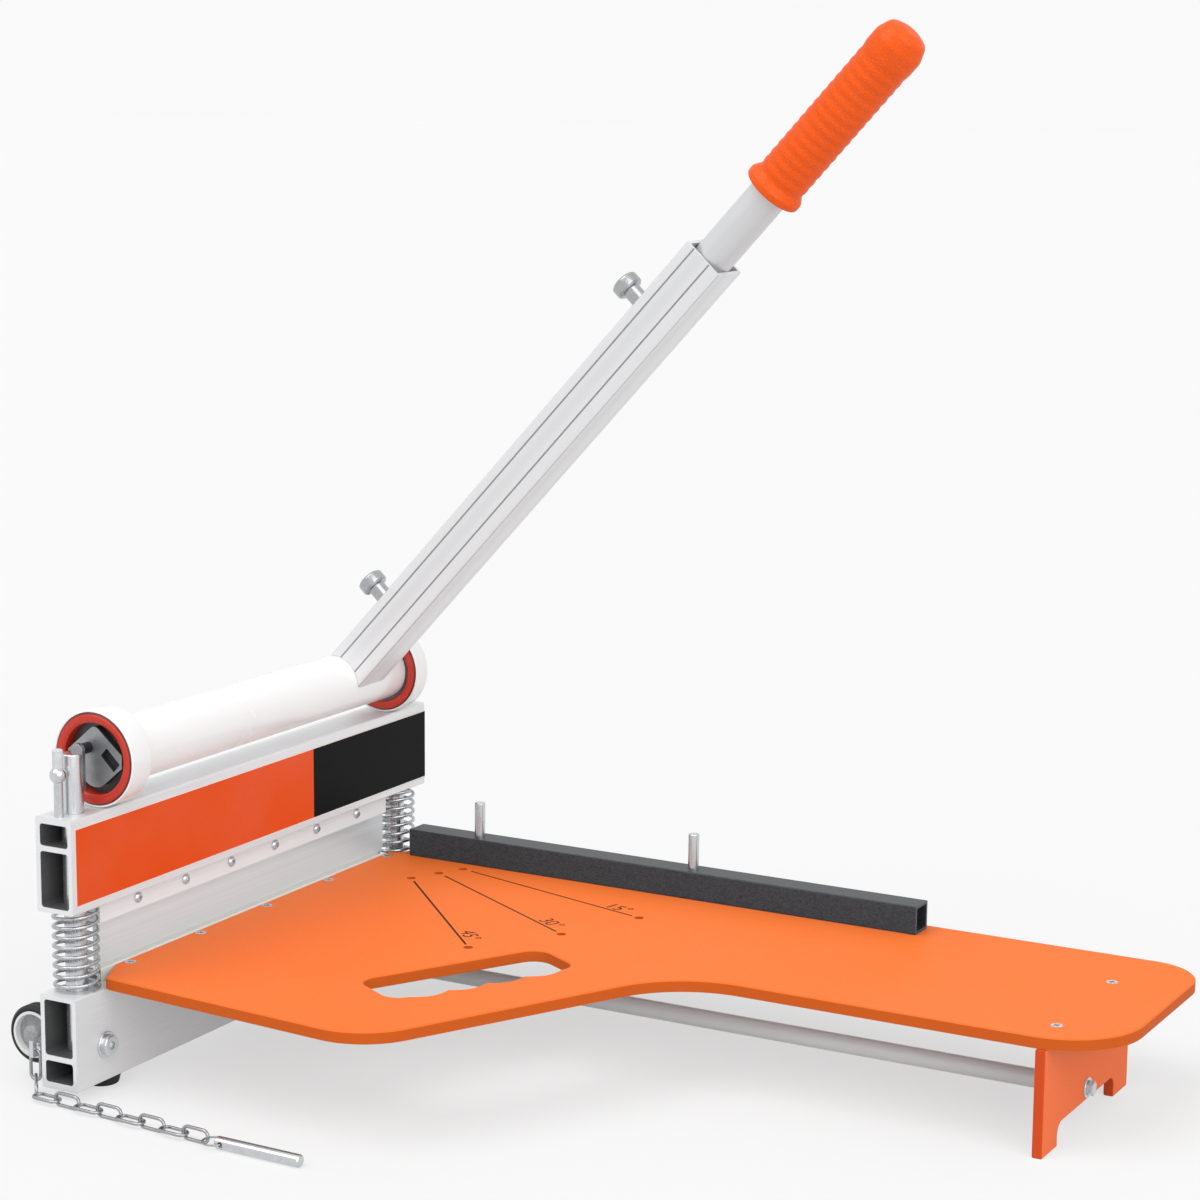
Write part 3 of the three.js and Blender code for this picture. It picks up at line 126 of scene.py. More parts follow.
class CutterSizes(bpy.types.PropertyGroup):
    """Sizes of the details that a user would change"""

    spring_wire: length_setting("Spring wire", "Thickness of the springs' wire", 0.0005, 0.003, 0.0024)
    spring_turns: bpy.props.FloatProperty(
        name="Spring turns", description="Number of turns of each spring", min=3, max=14, default=8.5)
    chain_wire: length_setting("Chain wire", "Thickness of the chain's wire", 0.001, 0.003, 0.0022)
    chain_link: length_setting(
        "Chain link", "Length of a link, measured along the middle of its wire", 0.01, 0.03, 0.0196)
    chain_width: length_setting(
        "Chain width", "Width of a link, measured across the middle of its wire", 0.004, 0.012, 0.0078)
    post_flat: length_setting("Post flat", "Depth of the flat at the top of each guide post", 0, 0.003, 0.002)
    post_flat_length: length_setting(
        "Post flat length", "How far the flat comes down from the post's top", 0, 0.04, 0.026)
    mark_width: length_setting(
        "Angle line width", "Width of the angle lines on the table", 0.0003, 0.003, 0.0015)
    mark_height: length_setting(
        "Angle number height", "Height of the angle numbers on the table", 0.003, 0.02, 0.015)
    label_split: length_setting(
        "Label split", "Where the label's orange part ends, along the beam", -0.19, 0.19, 0.0588)


class CutterView(bpy.types.PropertyGroup):
    """Where the camera stands"""

    place: bpy.props.FloatVectorProperty(
        name="Place", description="Where the camera stands",
        subtype="TRANSLATION", unit="LENGTH", size=3, default=(0.8708, -1.5864, 0.6400))
    turn: angle_setting("Turn", "Angle round from straight in front", 28.94)
    tilt: angle_setting("Tilt", "Angle down from level", 10.19)
    roll: angle_setting("Roll", "Turn about the line of sight", 0.45)
    lens: bpy.props.FloatProperty(
        name="Lens", description="Focal length on a 36 mm frame", min=10, default=88.47)


# ---- shader nodes

def put(tree, kind, inputs=(), **settings):
    """A node with its settings, and its inputs by label or number, given as sockets or values"""
    node = tree.nodes.new(kind)
    for label, value in settings.items():
        setattr(node, label, value)
    for label, value in dict(inputs).items():
        if isinstance(value, bpy.types.NodeSocket):
            tree.links.new(value, node.inputs[label])
        else:
            node.inputs[label].default_value = value
    return node


def calculate(tree, operation, first, second=0.0, clamp=False):
    node = put(tree, "ShaderNodeMath", {0: first, 1: second}, operation=operation, use_clamp=clamp)
    return node.outputs[0]


def dot_product(tree, first, second):
    node = put(tree, "ShaderNodeVectorMath", {0: first, 1: second}, operation="DOT_PRODUCT")
    return node.outputs["Value"]


def remap(tree, value, low, high, to_low=0.0, to_high=1.0):
    node = put(tree, "ShaderNodeMapRange", {
        "Value": value, "From Min": low, "From Max": high, "To Min": to_low, "To Max": to_high})
    return node.outputs["Result"]


def coordinates(tree, kind="Object"):
    """A point on the piece as it is made, or the direction that its surface faces (Normal)"""
    return put(tree, "ShaderNodeTexCoord").outputs[kind]


def value_group(name, inputs, output):
    """An empty shader node group: its tree, what it is given, and the socket that it fills"""
    tree = bpy.data.node_groups.new(name, "ShaderNodeTree")
    for label, kind, default in inputs:
        socket = tree.interface.new_socket(name=label, in_out="INPUT", socket_type=kind)
        socket.default_value = default
    tree.interface.new_socket(name=output, in_out="OUTPUT", socket_type="NodeSocketFloat")
    return tree, tree.nodes.new("NodeGroupInput").outputs, tree.nodes.new("NodeGroupOutput").inputs[output]


def grain_group():
    """Noise in the piece's own metres; the length of Along, squared, is the share drawn out along it"""
    tree, given, end = value_group("Cutter Grain", [
        ("Along", "NodeSocketVector", (0.0, 0.0, 0.0)), ("Scale", "NodeSocketFloat", 800.0),
        ("Detail", "NodeSocketFloat", 3.0), ("Sharpness", "NodeSocketFloat", 0.3)], "Grain")
    place = coordinates(tree)
    along = dot_product(tree, place, given["Along"])
    part = put(tree, "ShaderNodeVectorMath", {0: given["Along"], "Scale": along}, operation="SCALE")
    drawn = put(tree, "ShaderNodeVectorMath", {0: place, 1: part.outputs[0]}, operation="SUBTRACT")
    noise = put(tree, "ShaderNodeTexNoise", {
        "Vector": drawn.outputs[0], "Scale": given["Scale"], "Detail": given["Detail"]})
    low = calculate(tree, "MULTIPLY", given["Sharpness"], 0.5)
    high = calculate(tree, "SUBTRACT", 1.0, low)
    tree.links.new(remap(tree, noise.outputs["Fac"], low, high), end)


def sides_group():
    """A mask of the faces that don't look along a direction, such as a board's sawn edges"""
    tree, given, end = value_group(
        "Cutter Sides", [("Direction", "NodeSocketVector", (0.0, 0.0, 1.0))], "Mask")
    facing = calculate(tree, "ABSOLUTE", dot_product(tree, coordinates(tree, "Normal"), given["Direction"]))
    along, across = 0.75, 0.6
    tree.links.new(remap(tree, facing, along, across), end)


def edge_group():
    """A mask of the outer edges, broken up by noise"""
    tree, given, end = value_group("Cutter Edge Mask", [
        ("Width", "NodeSocketFloat", 0.0006), ("Amount", "NodeSocketFloat", 0.5),
        ("Scale", "NodeSocketFloat", 300.0)], "Mask")
    rounding = put(tree, "ShaderNodeBevel", {"Radius": given["Width"]}, samples=6)
    surface = put(tree, "ShaderNodeNewGeometry")
    alike = dot_product(tree, rounding.outputs["Normal"], surface.outputs["Normal"])
    flat, edge = 0.98, 0.80
    noise = put(tree, "ShaderNodeTexNoise", {"Vector": coordinates(tree), "Scale": given["Scale"]})
    broken = remap(tree, noise.outputs["Fac"], 0.35, 0.65, 0.4, 1.0)
    mask = calculate(tree, "MULTIPLY", remap(tree, alike, flat, edge), broken)
    tree.links.new(calculate(tree, "MULTIPLY", mask, given["Amount"], clamp=True), end)


# ---- materials

class Finish:
    """A material with a Principled shader, to which effects are added in turn"""

    def __init__(self, name, colour, rough, metallic=0.0, coat=0.0, coat_rough=0.08, specular=0.5):
        self.material = bpy.data.materials.new(name)
        self.material.use_nodes = True
        self.tree = self.material.node_tree
        self.shader = self.tree.nodes["Principled BSDF"]
        self.colour = (*colour, 1)
        for label, value in (("Base Color", self.colour), ("Roughness", rough), ("Metallic", metallic),
                             ("Coat Weight", coat), ("Coat Roughness", coat_rough),
                             ("Specular IOR Level", specular)):
            self.shader.inputs[label].default_value = value

    def effect(self, group, **inputs):
        return put(self.tree, "ShaderNodeGroup", inputs, node_tree=bpy.data.node_groups[group]).outputs[0]

    def grain(self, scale, detail=3.0, sharpness=0.6, along=(0, 0, 0), draw=0.98):
        return self.effect("Cutter Grain", Scale=scale, Detail=detail, Sharpness=sharpness,
                           Along=Vector(along) * math.sqrt(draw))

    def sides(self, direction):
        return self.effect("Cutter Sides", Direction=direction)

    def ends(self, direction):
        return calculate(self.tree, "SUBTRACT", 1.0, self.sides(direction))

    def edges(self, width, amount):
        return self.effect("Cutter Edge Mask", Width=width, Amount=amount)

    def place(self):
        """The X, Y and Z of a point on the piece, as it is made"""
        return put(self.tree, "ShaderNodeSeparateXYZ", {0: coordinates(self.tree)}).outputs

    def within(self, value, middle, reach):
        """1 where a value is closer to the middle than the reach"""
        away = calculate(self.tree, "ABSOLUTE", calculate(self.tree, "SUBTRACT", value, middle))
        return calculate(self.tree, "LESS_THAN", away, reach)

    def beyond(self, axis, radius):
        """1 where a point is further than a radius from a line along Y"""
        place = self.place()
        across = calculate(self.tree, "SUBTRACT", place["X"], axis.x)
        up = calculate(self.tree, "SUBTRACT", place["Z"], axis.z)
        away = calculate(self.tree, "ADD", self.both(across, across), self.both(up, up))
        return calculate(self.tree, "GREATER_THAN", away, radius ** 2)

    def both(self, first, second):
        return calculate(self.tree, "MULTIPLY", first, second)

    def tint(self, mask, other, share=1.0):
        """Mixes another colour into the base colour where the mask is high"""
        factor = calculate(self.tree, "MULTIPLY", mask, share, clamp=True)
        mix = put(self.tree, "ShaderNodeMix", {"Factor": factor, "A": self.colour, "B": (*other, 1)},
                  data_type="RGBA")
        self.colour = mix.outputs["Result"]
        self.tree.links.new(self.colour, self.shader.inputs["Base Color"])
        return self

    def roughen(self, mask, low, high):
        """Roughness that follows a mask"""
        self.tree.links.new(remap(self.tree, mask, 0.0, 1.0, low, high), self.shader.inputs["Roughness"])
        return self

    def relief(self, mask, depth):
        """A bump whose height in metres follows a mask"""
        height = calculate(self.tree, "MULTIPLY", mask, depth)
        bump = put(self.tree, "ShaderNodeBump", {"Distance": 1.0, "Height": height})
        self.tree.links.new(bump.outputs["Normal"], self.shader.inputs["Normal"])
        return self


def speckled(name, colour, rough, grain, other, share, spread, depth=0.0, **shader):
    """A finish whose grain has another colour, a spread of roughness and a height

    The grain is its scale, detail, sharpness, direction and share drawn out, as Finish.grain takes them.
    """
    finish = Finish(name, colour, rough, **shader)
    mask = finish.grain(*grain)
    finish.tint(mask, other, share).roughen(mask, *spread)
    return finish.relief(mask, depth) if depth else finish


def darker(colour, share):
    return tuple(channel * share for channel in colour)


def paler(colour, share):
    return tuple(channel + (1 - channel) * share for channel in colour)


def make_materials():
    colours = bpy.context.scene.cutter_colours
    for build in (grain_group, sides_group, edge_group, make_plastics):
        build()
    for build in (make_metals, make_beam, make_handle, make_drum, make_rubbers, make_boards, make_label):
        build(colours)


def make_metals(colours):
    steel, black = tuple(colours.steel), tuple(colours.fence)
    speckled("bright steel", steel, 0.24, (1800, 3.0, 0.7, Z, 0.96), paler(steel, 0.5), 0.4, (0.18, 0.32),
             metallic=0.9)
    speckled("spring wire", darker(steel, 0.6), 0.2, (900, 3.0, 0.7), paler(steel, 0.3), 0.5, (0.16, 0.32),
             metallic=1.0)
    speckled("polished steel", steel, 0.16, (260, 4.0, 0.7), darker(steel, 0.8), 0.45, (0.10, 0.26),
             metallic=1.0)
    speckled("turned steel", darker(steel, 0.62), 0.2, (900, 3.0, 0.7), darker(steel, 0.9), 0.5, (0.14, 0.3),
             metallic=1.0)
    speckled("zinc chain", darker(steel, 0.6), 0.24, (700, 4.0, 0.7), darker(steel, 0.6), 0.5, (0.18, 0.42),
             metallic=1.0)
    # Pale bluish and only a little metallic: partly the blade's own grey, partly a painted reflection of the
    # pale surroundings
    speckled("blade steel", (0.76, 0.80, 0.82), 0.34, (500, 3.0, 0.5, Y, 0.9998), (0.90, 0.92, 0.93), 0.6,
             (0.28, 0.42), metallic=0.35)
    # A paler, almost not metallic copy of the aluminium: painted light on the holder and clamp strip against
    # the upper beam's shade
    speckled("pale aluminium", (0.94, 0.945, 0.95), 0.5, (2600, 2.0, 0.75, Y, 0.988), (0.86, 0.865, 0.87),
             0.6, (0.44, 0.56), metallic=0.1)
    # Near white and almost not metallic: painted light on the brace rod against the shade of the table over
    # it
    speckled("rod aluminium", (0.97, 0.97, 0.97), 0.42, (1800, 2.0, 0.7, X, 0.99), (0.90, 0.90, 0.905),
             0.5, (0.3, 0.44), metallic=0.05)

    fence = speckled("fence black", black, 0.42, (2200, 3.0, 0.7, X, 0.7), paler(black, 0.06), 0.7,
                     (0.34, 0.5), metallic=0.4)
    fence.tint(fence.edges(0.0005, 0.8), (0.35, 0.36, 0.38), 0.7)

    plate = speckled("pivot steel", (0.40, 0.41, 0.42), 0.3, (500, 4.0, 0.7), (0.26, 0.265, 0.27), 0.6,
                     (0.24, 0.42), metallic=0.9)
    # The pivot pin is tinted near black where it stands out of its plate towards the middle: a black pin,
    # with painted shade of the hollow round it
    plate_depth = 0.0031
    pin = plate.within(plate.place()["Y"], 0.0, -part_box("pivot_plate_front")[0].y - plate_depth)
    plate.tint(pin, (0.018, 0.018, 0.019), 0.95)


def make_beam(colours):
    """Drawn aluminium of the two beams, with painted shade inside their cavities and along their edges"""
    aluminium = tuple(colours.aluminium)
    beam = speckled("beam aluminium", aluminium, 0.46, (2600, 2.0, 0.75, Y, 0.988), darker(aluminium, 0.9),
                    0.6, (0.4, 0.54), 0.000006, metallic=0.35)
    beam.tint(beam.grain(30, 3.0, 0.6, Y, 0.7), paler(aluminium, 0.4), 0.35)
    place = beam.place()
    wall = 0.0029
    cavities = []
    for name in ("base_beam", "upper_beam"):
        low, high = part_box(name)
        middle, reach = middle_of(name), (high - low) / 2 - wall * (X + Z)
        cavities.append(beam.both(beam.within(place["X"], middle.x, reach.x),
                                  beam.within(place["Z"], middle.z, reach.z)))
    # Painted shade: the cavities' inner walls are tinted near black, and the outer edges darker grey
    cavity_shade = beam.both(calculate(beam.tree, "MAXIMUM", *cavities), beam.sides(Y))
    beam.tint(cavity_shade, (0.055, 0.056, 0.058), 0.9).tint(beam.edges(0.0007, 0.8), (0.42, 0.42, 0.43), 0.6)


def make_handle(colours):
    """Drawn aluminium of the telescopic handle, with painted shade in the grooves along the outer tube's
    sides
    """
    aluminium = tuple(colours.aluminium)
    shade = darker(aluminium, 0.8)
    tubes = []
    for name, base in (("handle aluminium", aluminium), ("inner tube aluminium", shade)):
        drawn = speckled(name, base, 0.38, (1500, 2.0, 0.7, handle_reach, 0.9996),
                         darker(aluminium, 0.9), 0.4, (0.32, 0.44), metallic=0.45)
        tubes.append(drawn.tint(drawn.grain(70, 2.0, 0.7, handle_reach, 0.9985), shade, 0.5))
    outer = tubes[0]
    low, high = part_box("handle_tube")
    middle, half = (low.y + high.y) / 2, (high.y - low.y) / 2
    across = outer.place()["Y"]
    shallow, deep = 0.0003, 0.0007
    below_face = outer.within(across, middle, half - shallow)
    above_floor = calculate(outer.tree, "SUBTRACT", 1.0, outer.within(across, middle, half - deep))
    # Painted shade: the floor of each groove is tinted dark grey
    groove = outer.both(outer.both(above_floor, below_face), outer.ends(Y))
    outer.tint(groove, (0.30, 0.30, 0.31), 0.9)


def make_drum(colours):
    drum, red = tuple(colours.drum), tuple(colours.ring)
    coat = speckled("white coat", drum, 0.22, (25,), darker(drum, 0.97), 0.5, (0.18, 0.28), coat=0.3)
    coat.relief(coat.grain(420, 2.0, 0.5), 0.000006)

    rubber = speckled("red rubber", red, 0.34, (500,), darker(red, 0.75), 0.4, (0.28, 0.42), 0.00001,
                      coat=0.15, specular=0.4)
    # Painted shade: beyond this radius, over the groove near its outer edge, the ring is tinted near black
    ring_shade_radius = 0.0287
    rubber.tint(rubber.beyond(middle_of("drum_tube"), ring_shade_radius), (0.035, 0.008, 0.006), 0.85)

    # The hubs are darker down in the recess round the shield: a darker casting, with painted shade on top of
    # it
    cast = speckled("cast grey", (0.30, 0.315, 0.33), 0.34, (1400, 4.0, 0.7), (0.20, 0.21, 0.225), 0.6,
                    (0.28, 0.5), 0.00005, metallic=0.8)
    cast.tint(cast.grain(55), (0.55, 0.56, 0.57), 0.5)
    front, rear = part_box("drum_hub_front")[0].y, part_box("drum_hub_rear")[1].y
    shield_height = 0.0008
    recess = cast.within(cast.place()["Y"], (front + rear) / 2, (rear - front) / 2 - shield_height)
    cast.tint(recess, (0.05, 0.052, 0.055), 0.85).tint(cast.edges(0.0006, 0.9), (0.72, 0.73, 0.75), 0.7)


def make_plastics():
    ivory = speckled("ivory nylon", (0.88, 0.86, 0.81), 0.5, (60,), (0.92, 0.91, 0.88), 0.6, (0.4, 0.52),
                     specular=0.2)
    # Painted shade: the anvil strip's end faces are tinted near black
    ivory.tint(ivory.ends(Y), (0.10, 0.09, 0.075), 0.85)
    speckled("clear cap", (0.62, 0.63, 0.65), 0.2, (300,), (0.80, 0.81, 0.83), 0.6, (0.14, 0.3))
    speckled("mark ink", (0.045, 0.012, 0.003), 0.6, (1500, 3.0, 0.7), (0.09, 0.022, 0.004), 0.5, (0.5, 0.7),
             specular=0.1)
    hub = speckled("hub plastic", (0.42, 0.43, 0.44), 0.4, (700, 4.0, 0.7), (0.22, 0.23, 0.24), 0.6,
                   (0.3, 0.55), 0.00006, specular=0.4)
    rim_radius = 0.0129
    hub.tint(hub.beyond(middle_of("wheel_hub_front"), rim_radius), (0.84, 0.84, 0.84))


def make_rubbers(colours):
    dark, orange = tuple(colours.tyre), tuple(colours.grip)
    speckled("tyre rubber", dark, 0.55, (200, 4.0, 0.7), (0.05, 0.05, 0.052), 0.5, (0.45, 0.7), 0.00003,
             specular=0.3)
    speckled("black rubber", dark, 0.7, (300, 3.0, 0.7), (0.04, 0.04, 0.042), 0.6, (0.6, 0.8), 0.00002,
             specular=0.3)

    grip = Finish("grip rubber", orange, 0.6, coat=0.25, coat_rough=0.22, specular=0.05)
    stipple = put(grip.tree, "ShaderNodeTexVoronoi", {"Vector": coordinates(grip.tree), "Scale": 620})
    dots = remap(grip.tree, stipple.outputs["Distance"], 0.15, 0.55, 1.0, 0.0)
    worn = grip.grain(40)
    grip.tint(dots, paler(orange, 0.06), 0.6).tint(worn, darker(orange, 0.85), 0.35)
    grip.roughen(worn, 0.42, 0.6).relief(dots, 0.00016)


def make_boards(colours):
    """Orange board with deeper sawn edges, which colours its neighbours only a little"""
    for name, face, edge, direction in (("table board", colours.board, colours.board_edge, Z),
                                        ("leg board", colours.leg, colours.leg_edge, X)):
        face, edge = tuple(face), tuple(edge)
        board = Finish(name, face, 0.55, specular=0.12)
        pebbles = board.grain(900, 2.0, 0.6)
        board.tint(board.grain(9), paler(face, 0.03), 0.5).tint(pebbles, darker(face, 0.94), 0.35)
        board.tint(board.sides(direction), edge, 0.9).tint(board.edges(0.0009, 0.7), edge, 0.5)
        path = put(board.tree, "ShaderNodeLightPath").outputs
        bounced = calculate(board.tree, "MAXIMUM", path["Is Diffuse Ray"], path["Is Glossy Ray"])
        board.tint(bounced, (0.70, 0.67, 0.66), 0.88)
        board.roughen(pebbles, 0.5, 0.62).relief(pebbles, 0.00001)


def make_label(colours):
    """Orange plate with a black end and a thin pale border, told apart by place on the plate"""
    orange = tuple(colours.label)
    label = Finish("label", orange, 0.45, specular=0.06)
    fleck = label.grain(1200, 2.0, 0.6)
    label.tint(label.grain(14), paler(orange, 0.06), 0.6).tint(fleck, darker(orange, 0.9), 0.3)
    place = label.place()
    split = bpy.context.scene.cutter_sizes.label_split
    label.tint(calculate(label.tree, "GREATER_THAN", place["Y"], split), (0.005, 0.005, 0.0055))
    low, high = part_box("label_plate")
    border = 0.0009
    for side, test, limit in (("Y", "LESS_THAN", low.y + border), ("Z", "LESS_THAN", low.z + border),
                              ("Z", "GREATER_THAN", high.z - border)):
        label.tint(calculate(label.tree, test, place[side], limit), (0.86, 0.80, 0.78))
    label.roughen(fleck, 0.4, 0.5).relief(fleck, 0.000005)


# ---- shapes

def soften(corners, closed, steps):
    """A route of 2-D points from corners given as (a, b) or (a, b, round)"""
    route = []
    count = len(corners)
    # A round takes less than half of the side that it starts on
    share = 0.49
    for index, corner in enumerate(corners):
        here = Vector(corner[:2])
        radius = corner[2] if len(corner) > 2 else 0
        at_end = not closed and index in (0, count - 1)
        if radius <= 0 or at_end:
            route.append(here)
            continue
        back = Vector(corners[index - 1][:2]) - here
        ahead = Vector(corners[(index + 1) % count][:2]) - here
        half = back.angle(ahead) / 2
        reach = min(radius / math.tan(half), back.length * share, ahead.length * share)
        fit = reach * math.tan(half)
        centre = here + (back.normalized() + ahead.normalized()).normalized() * (fit / math.sin(half))
        first = here + back.normalized() * reach - centre
        last = here + ahead.normalized() * reach - centre
        start = math.atan2(first.y, first.x)
        swing = math.atan2(first.x * last.y - first.y * last.x, first.dot(last))
        for step in range(steps + 1):
            turn = start + swing * step / steps
            route.append(centre + fit * Vector((math.cos(turn), math.sin(turn))))
    return route


def circle(count, radius=1.0):
    """Evenly spaced points round a circle"""
    turns = [2 * math.pi * k / count for k in range(count)]
    return [(radius * math.cos(turn), radius * math.sin(turn)) for turn in turns]


def join_rings(bm, first, second):
    """Faces between two rings of vertices; a ring of one vertex is a pole, and two poles aren't joined"""
    count = max(len(first), len(second))
    if count == 1:
        return
    for k in range(count):
        after = (k + 1) % count
        if len(first) == 1:
            bm.faces.new((first[0], second[after], second[k]))
        elif len(second) == 1:
            bm.faces.new((first[k], first[after], second[0]))
        else:
            bm.faces.new((first[k], first[after], second[after], second[k]))


def turned(corners, segments=96, closed=False, steps=5):
    """A solid turned about the Z axis from corners given as (radius, height, round)"""
    bm = bmesh.new()
    rings = []
    on_axis = 1e-9
    for radius, height in soften(corners, closed, steps):
        points = [(0, 0)] if radius < on_axis else circle(segments, radius)
        rings.append([bm.verts.new((x, y, height)) for x, y in points])
    pairs = list(zip(rings, rings[1:]))
    if closed:
        pairs.append((rings[-1], rings[0]))
    for first, second in pairs:
        join_rings(bm, first, second)
    return bm


def prism(outline, low, high):
    """A solid between two heights from a closed 2-D outline"""
    bm = bmesh.new()
    floor, roof = ([bm.verts.new((x, y, height)) for x, y in outline] for height in (low, high))
    bm.faces.new(list(reversed(floor)))
    bm.faces.new(roof)
    join_rings(bm, floor, roof)
    return bm


def sweep(route, radius, sides=16, closed=False):
    """Round wire along a route of points"""
    bm = bmesh.new()
    count = len(route)
    route = [Vector(point) for point in route]
    tangents = []
    for index in range(count):
        before = route[index - 1] if closed or index > 0 else route[0]
        after = route[(index + 1) % count] if closed or index < count - 1 else route[-1]
        tangents.append((after - before).normalized())
    side = tangents[0].orthogonal().normalized()
    rings = []
    for point, tangent in zip(route, tangents):
        side = (side - tangent * side.dot(tangent)).normalized()
        other = tangent.cross(side)
        rings.append([bm.verts.new(point + radius * (a * side + b * other)) for a, b in circle(sides)])
    for first, second in zip(rings, rings[1:]):
        join_rings(bm, first, second)
    if closed:
        first, last = rings[0], rings[-1]
        shift = min(range(sides), key=lambda k: (first[k].co - last[0].co).length)
        join_rings(bm, last, first[shift:] + first[:shift])
    else:
        bm.faces.new(list(reversed(rings[0])))
        bm.faces.new(rings[-1])
    return bm


def as_mesh(bm, name="part"):
    mesh = bpy.data.meshes.new(name)
    bm.to_mesh(mesh)
    bm.free()
    return mesh


def shown(name, data):
    """An object of the scene with the given data"""
    made = bpy.data.objects.new(name, data)
    bpy.context.scene.collection.objects.link(made)
    return made


def joined(*shapes):
    """One mesh from several"""
    total = bmesh.new()
    for shape in shapes:
        mesh = as_mesh(shape)
        total.from_mesh(mesh)
        bpy.data.meshes.remove(mesh)
    return total


def carved(bm, *tools):
    """A closed mesh with other closed meshes cut out of it"""
    helpers = []
    for shape in (bm, *tools):
        bmesh.ops.recalc_face_normals(shape, faces=shape.faces)
        helpers.append(shown("part", as_mesh(shape)))
    for tool in helpers[1:]:
        cut = helpers[0].modifiers.new("Cut", "BOOLEAN")
        cut.operation = "DIFFERENCE"
        cut.solver = "EXACT"
        cut.object = tool
    result = bmesh.new()
    result.from_object(helpers[0], bpy.context.evaluated_depsgraph_get())
    for helper in helpers:
        mesh = helper.data
        bpy.data.objects.remove(helper)
        bpy.data.meshes.remove(mesh)
    return result


def shank(radius, seat):
    """The corners of a screw's shank, up to the underside of its head"""
    return [(0, 0), (radius, 0, 0.0004), (radius, seat)]


def tube(bore, radius, length, inside, outside, segments):
    """A turned tube with its inner and outer edges rounded"""
    return turned([(bore, 0, inside), (radius, 0, outside), (radius, length, outside),
                   (bore, length, inside)], segments, closed=True)


def standing(origin, up=Z, across=X):
    """The matrix that puts a shape's Z axis along a direction at a point"""
    z = Vector(up).normalized()
    x = Vector(across)
    x = (x - z * x.dot(z)).normalized()
    return Matrix.Translation(Vector(origin)) @ Matrix((x, z.cross(x), z)).transposed().to_4x4()


def between(first, second, degrees):
    """The direction at an angle from one axis towards another"""
    return first * math.cos(math.radians(degrees)) + second * math.sin(math.radians(degrees))


def piece(name, bm, where, finish, body, stands_for=(), sharp=35):
    """A finished piece that rides on a body, if one is given, and stands for CAD nodes"""
    bm.transform(where)
    bmesh.ops.recalc_face_normals(bm, faces=bm.faces)
    mesh = as_mesh(bm, name)
    mesh.materials.append(bpy.data.materials[finish])
    mesh.shade_smooth()
    mesh.set_sharp_from_angle(angle=math.radians(sharp))
    made = shown(name, mesh)
    if body:
        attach(made, body)
    if stands_for:
        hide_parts(*stands_for)
    return made


def hexagon(across_flats):
    return circle(6, across_flats / math.sqrt(3))


def cross_recess(across, width, low, high):
    """The tool that cuts a cross into a screw head"""
    a, b = across / 2, width / 2
    return prism([(a, -b), (a, b), (b, b), (b, a), (-b, a), (-b, b), (-a, b), (-a, -b),
                  (-b, -b), (-b, -a), (b, -a), (b, -b)], low, high)


# ---- cad nodes

def dress(names, material, bevel=0.0003):
    """Gives CAD nodes their material, and rounds their edges a little"""
    for name in names:
        node = nodes[name]
        for slot in node.material_slots:
            slot.material = bpy.data.materials[material]
        weld = node.modifiers.new("Weld", "WELD")
        weld.merge_threshold = 0.000005
        flat = node.modifiers.new("Flat faces", "DECIMATE")
        flat.decimate_type = "DISSOLVE"
        flat.angle_limit = math.radians(0.5)
        rounding = node.modifiers.new("Edge rounding", "BEVEL")
        rounding.width = bevel
        rounding.segments = 2
        rounding.limit_method = "ANGLE"
        rounding.angle_limit = math.radians(40)
        rounding.use_clamp_overlap = True
        shading = node.modifiers.new("Shading", "WEIGHTED_NORMAL")
        shading.keep_sharp = False


class CUTTER_OT_frame(bpy.types.Operator):
    """Finishes the beams, table, leg, fence and other flat pieces"""

    bl_idname = "cutter.frame"
    bl_label = "Frame pieces"

    def execute(self, context):
        dress(["base_beam", "upper_beam"], "beam aluminium")
        dress(["blade_holder", "clamp_strip"], "pale aluminium")
        dress(["handle_tube", "handle_spigot"], "handle aluminium")
        dress(["table"], "table board", 0.0005)
        dress(["leg"], "leg board", 0.0005)
        dress(["fence"], "fence black")
        dress(["anvil_strip"], "ivory nylon")
        dress(["blade"], "blade steel", 0.0001)
        dress(["label_plate"], "label", 0.0001)
        dress(["drum_hub_front", "drum_hub_rear"], "cast grey", 0.0006)
        dress(["pivot_plate_front", "pivot_plate_rear"], "pivot steel")
        dress(["lock_pin"], "polished steel")
        dress(["wheel_bracket_front", "wheel_bracket_rear"], "bright steel")
        return {"FINISHED"}


# ---- springs and posts

class CUTTER_OT_posts(bpy.types.Operator):
    """Makes the two guide posts, round with a flat near the top"""

    bl_idname = "cutter.posts"
    bl_label = "Guide posts"

    def execute(self, context):
        sizes = context.scene.cutter_sizes
        # The flat starts between two rings that are this far apart
        step = 0.00001
        for end, side in ENDS:
            name = f"guide_post_{end}"
            low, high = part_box(name)
            start, length, radius = round_node(name, "z")
            flat_from = length - sizes.post_flat_length
            reach = radius - sizes.post_flat
            post = turned([*shank(radius, flat_from), (radius, flat_from + step), (radius, length, 0.0009),
                           (0, length)])
            for vertex in post.verts:
                if vertex.co.z > flat_from + step / 2:
                    vertex.co.y = max(vertex.co.y, -reach) if side > 0 else min(vertex.co.y, reach)
            start.y = low.y + radius if side > 0 else high.y - radius
            piece(f"post_{end}", post, standing(start), "bright steel", "base", [name])
        return {"FINISHED"}


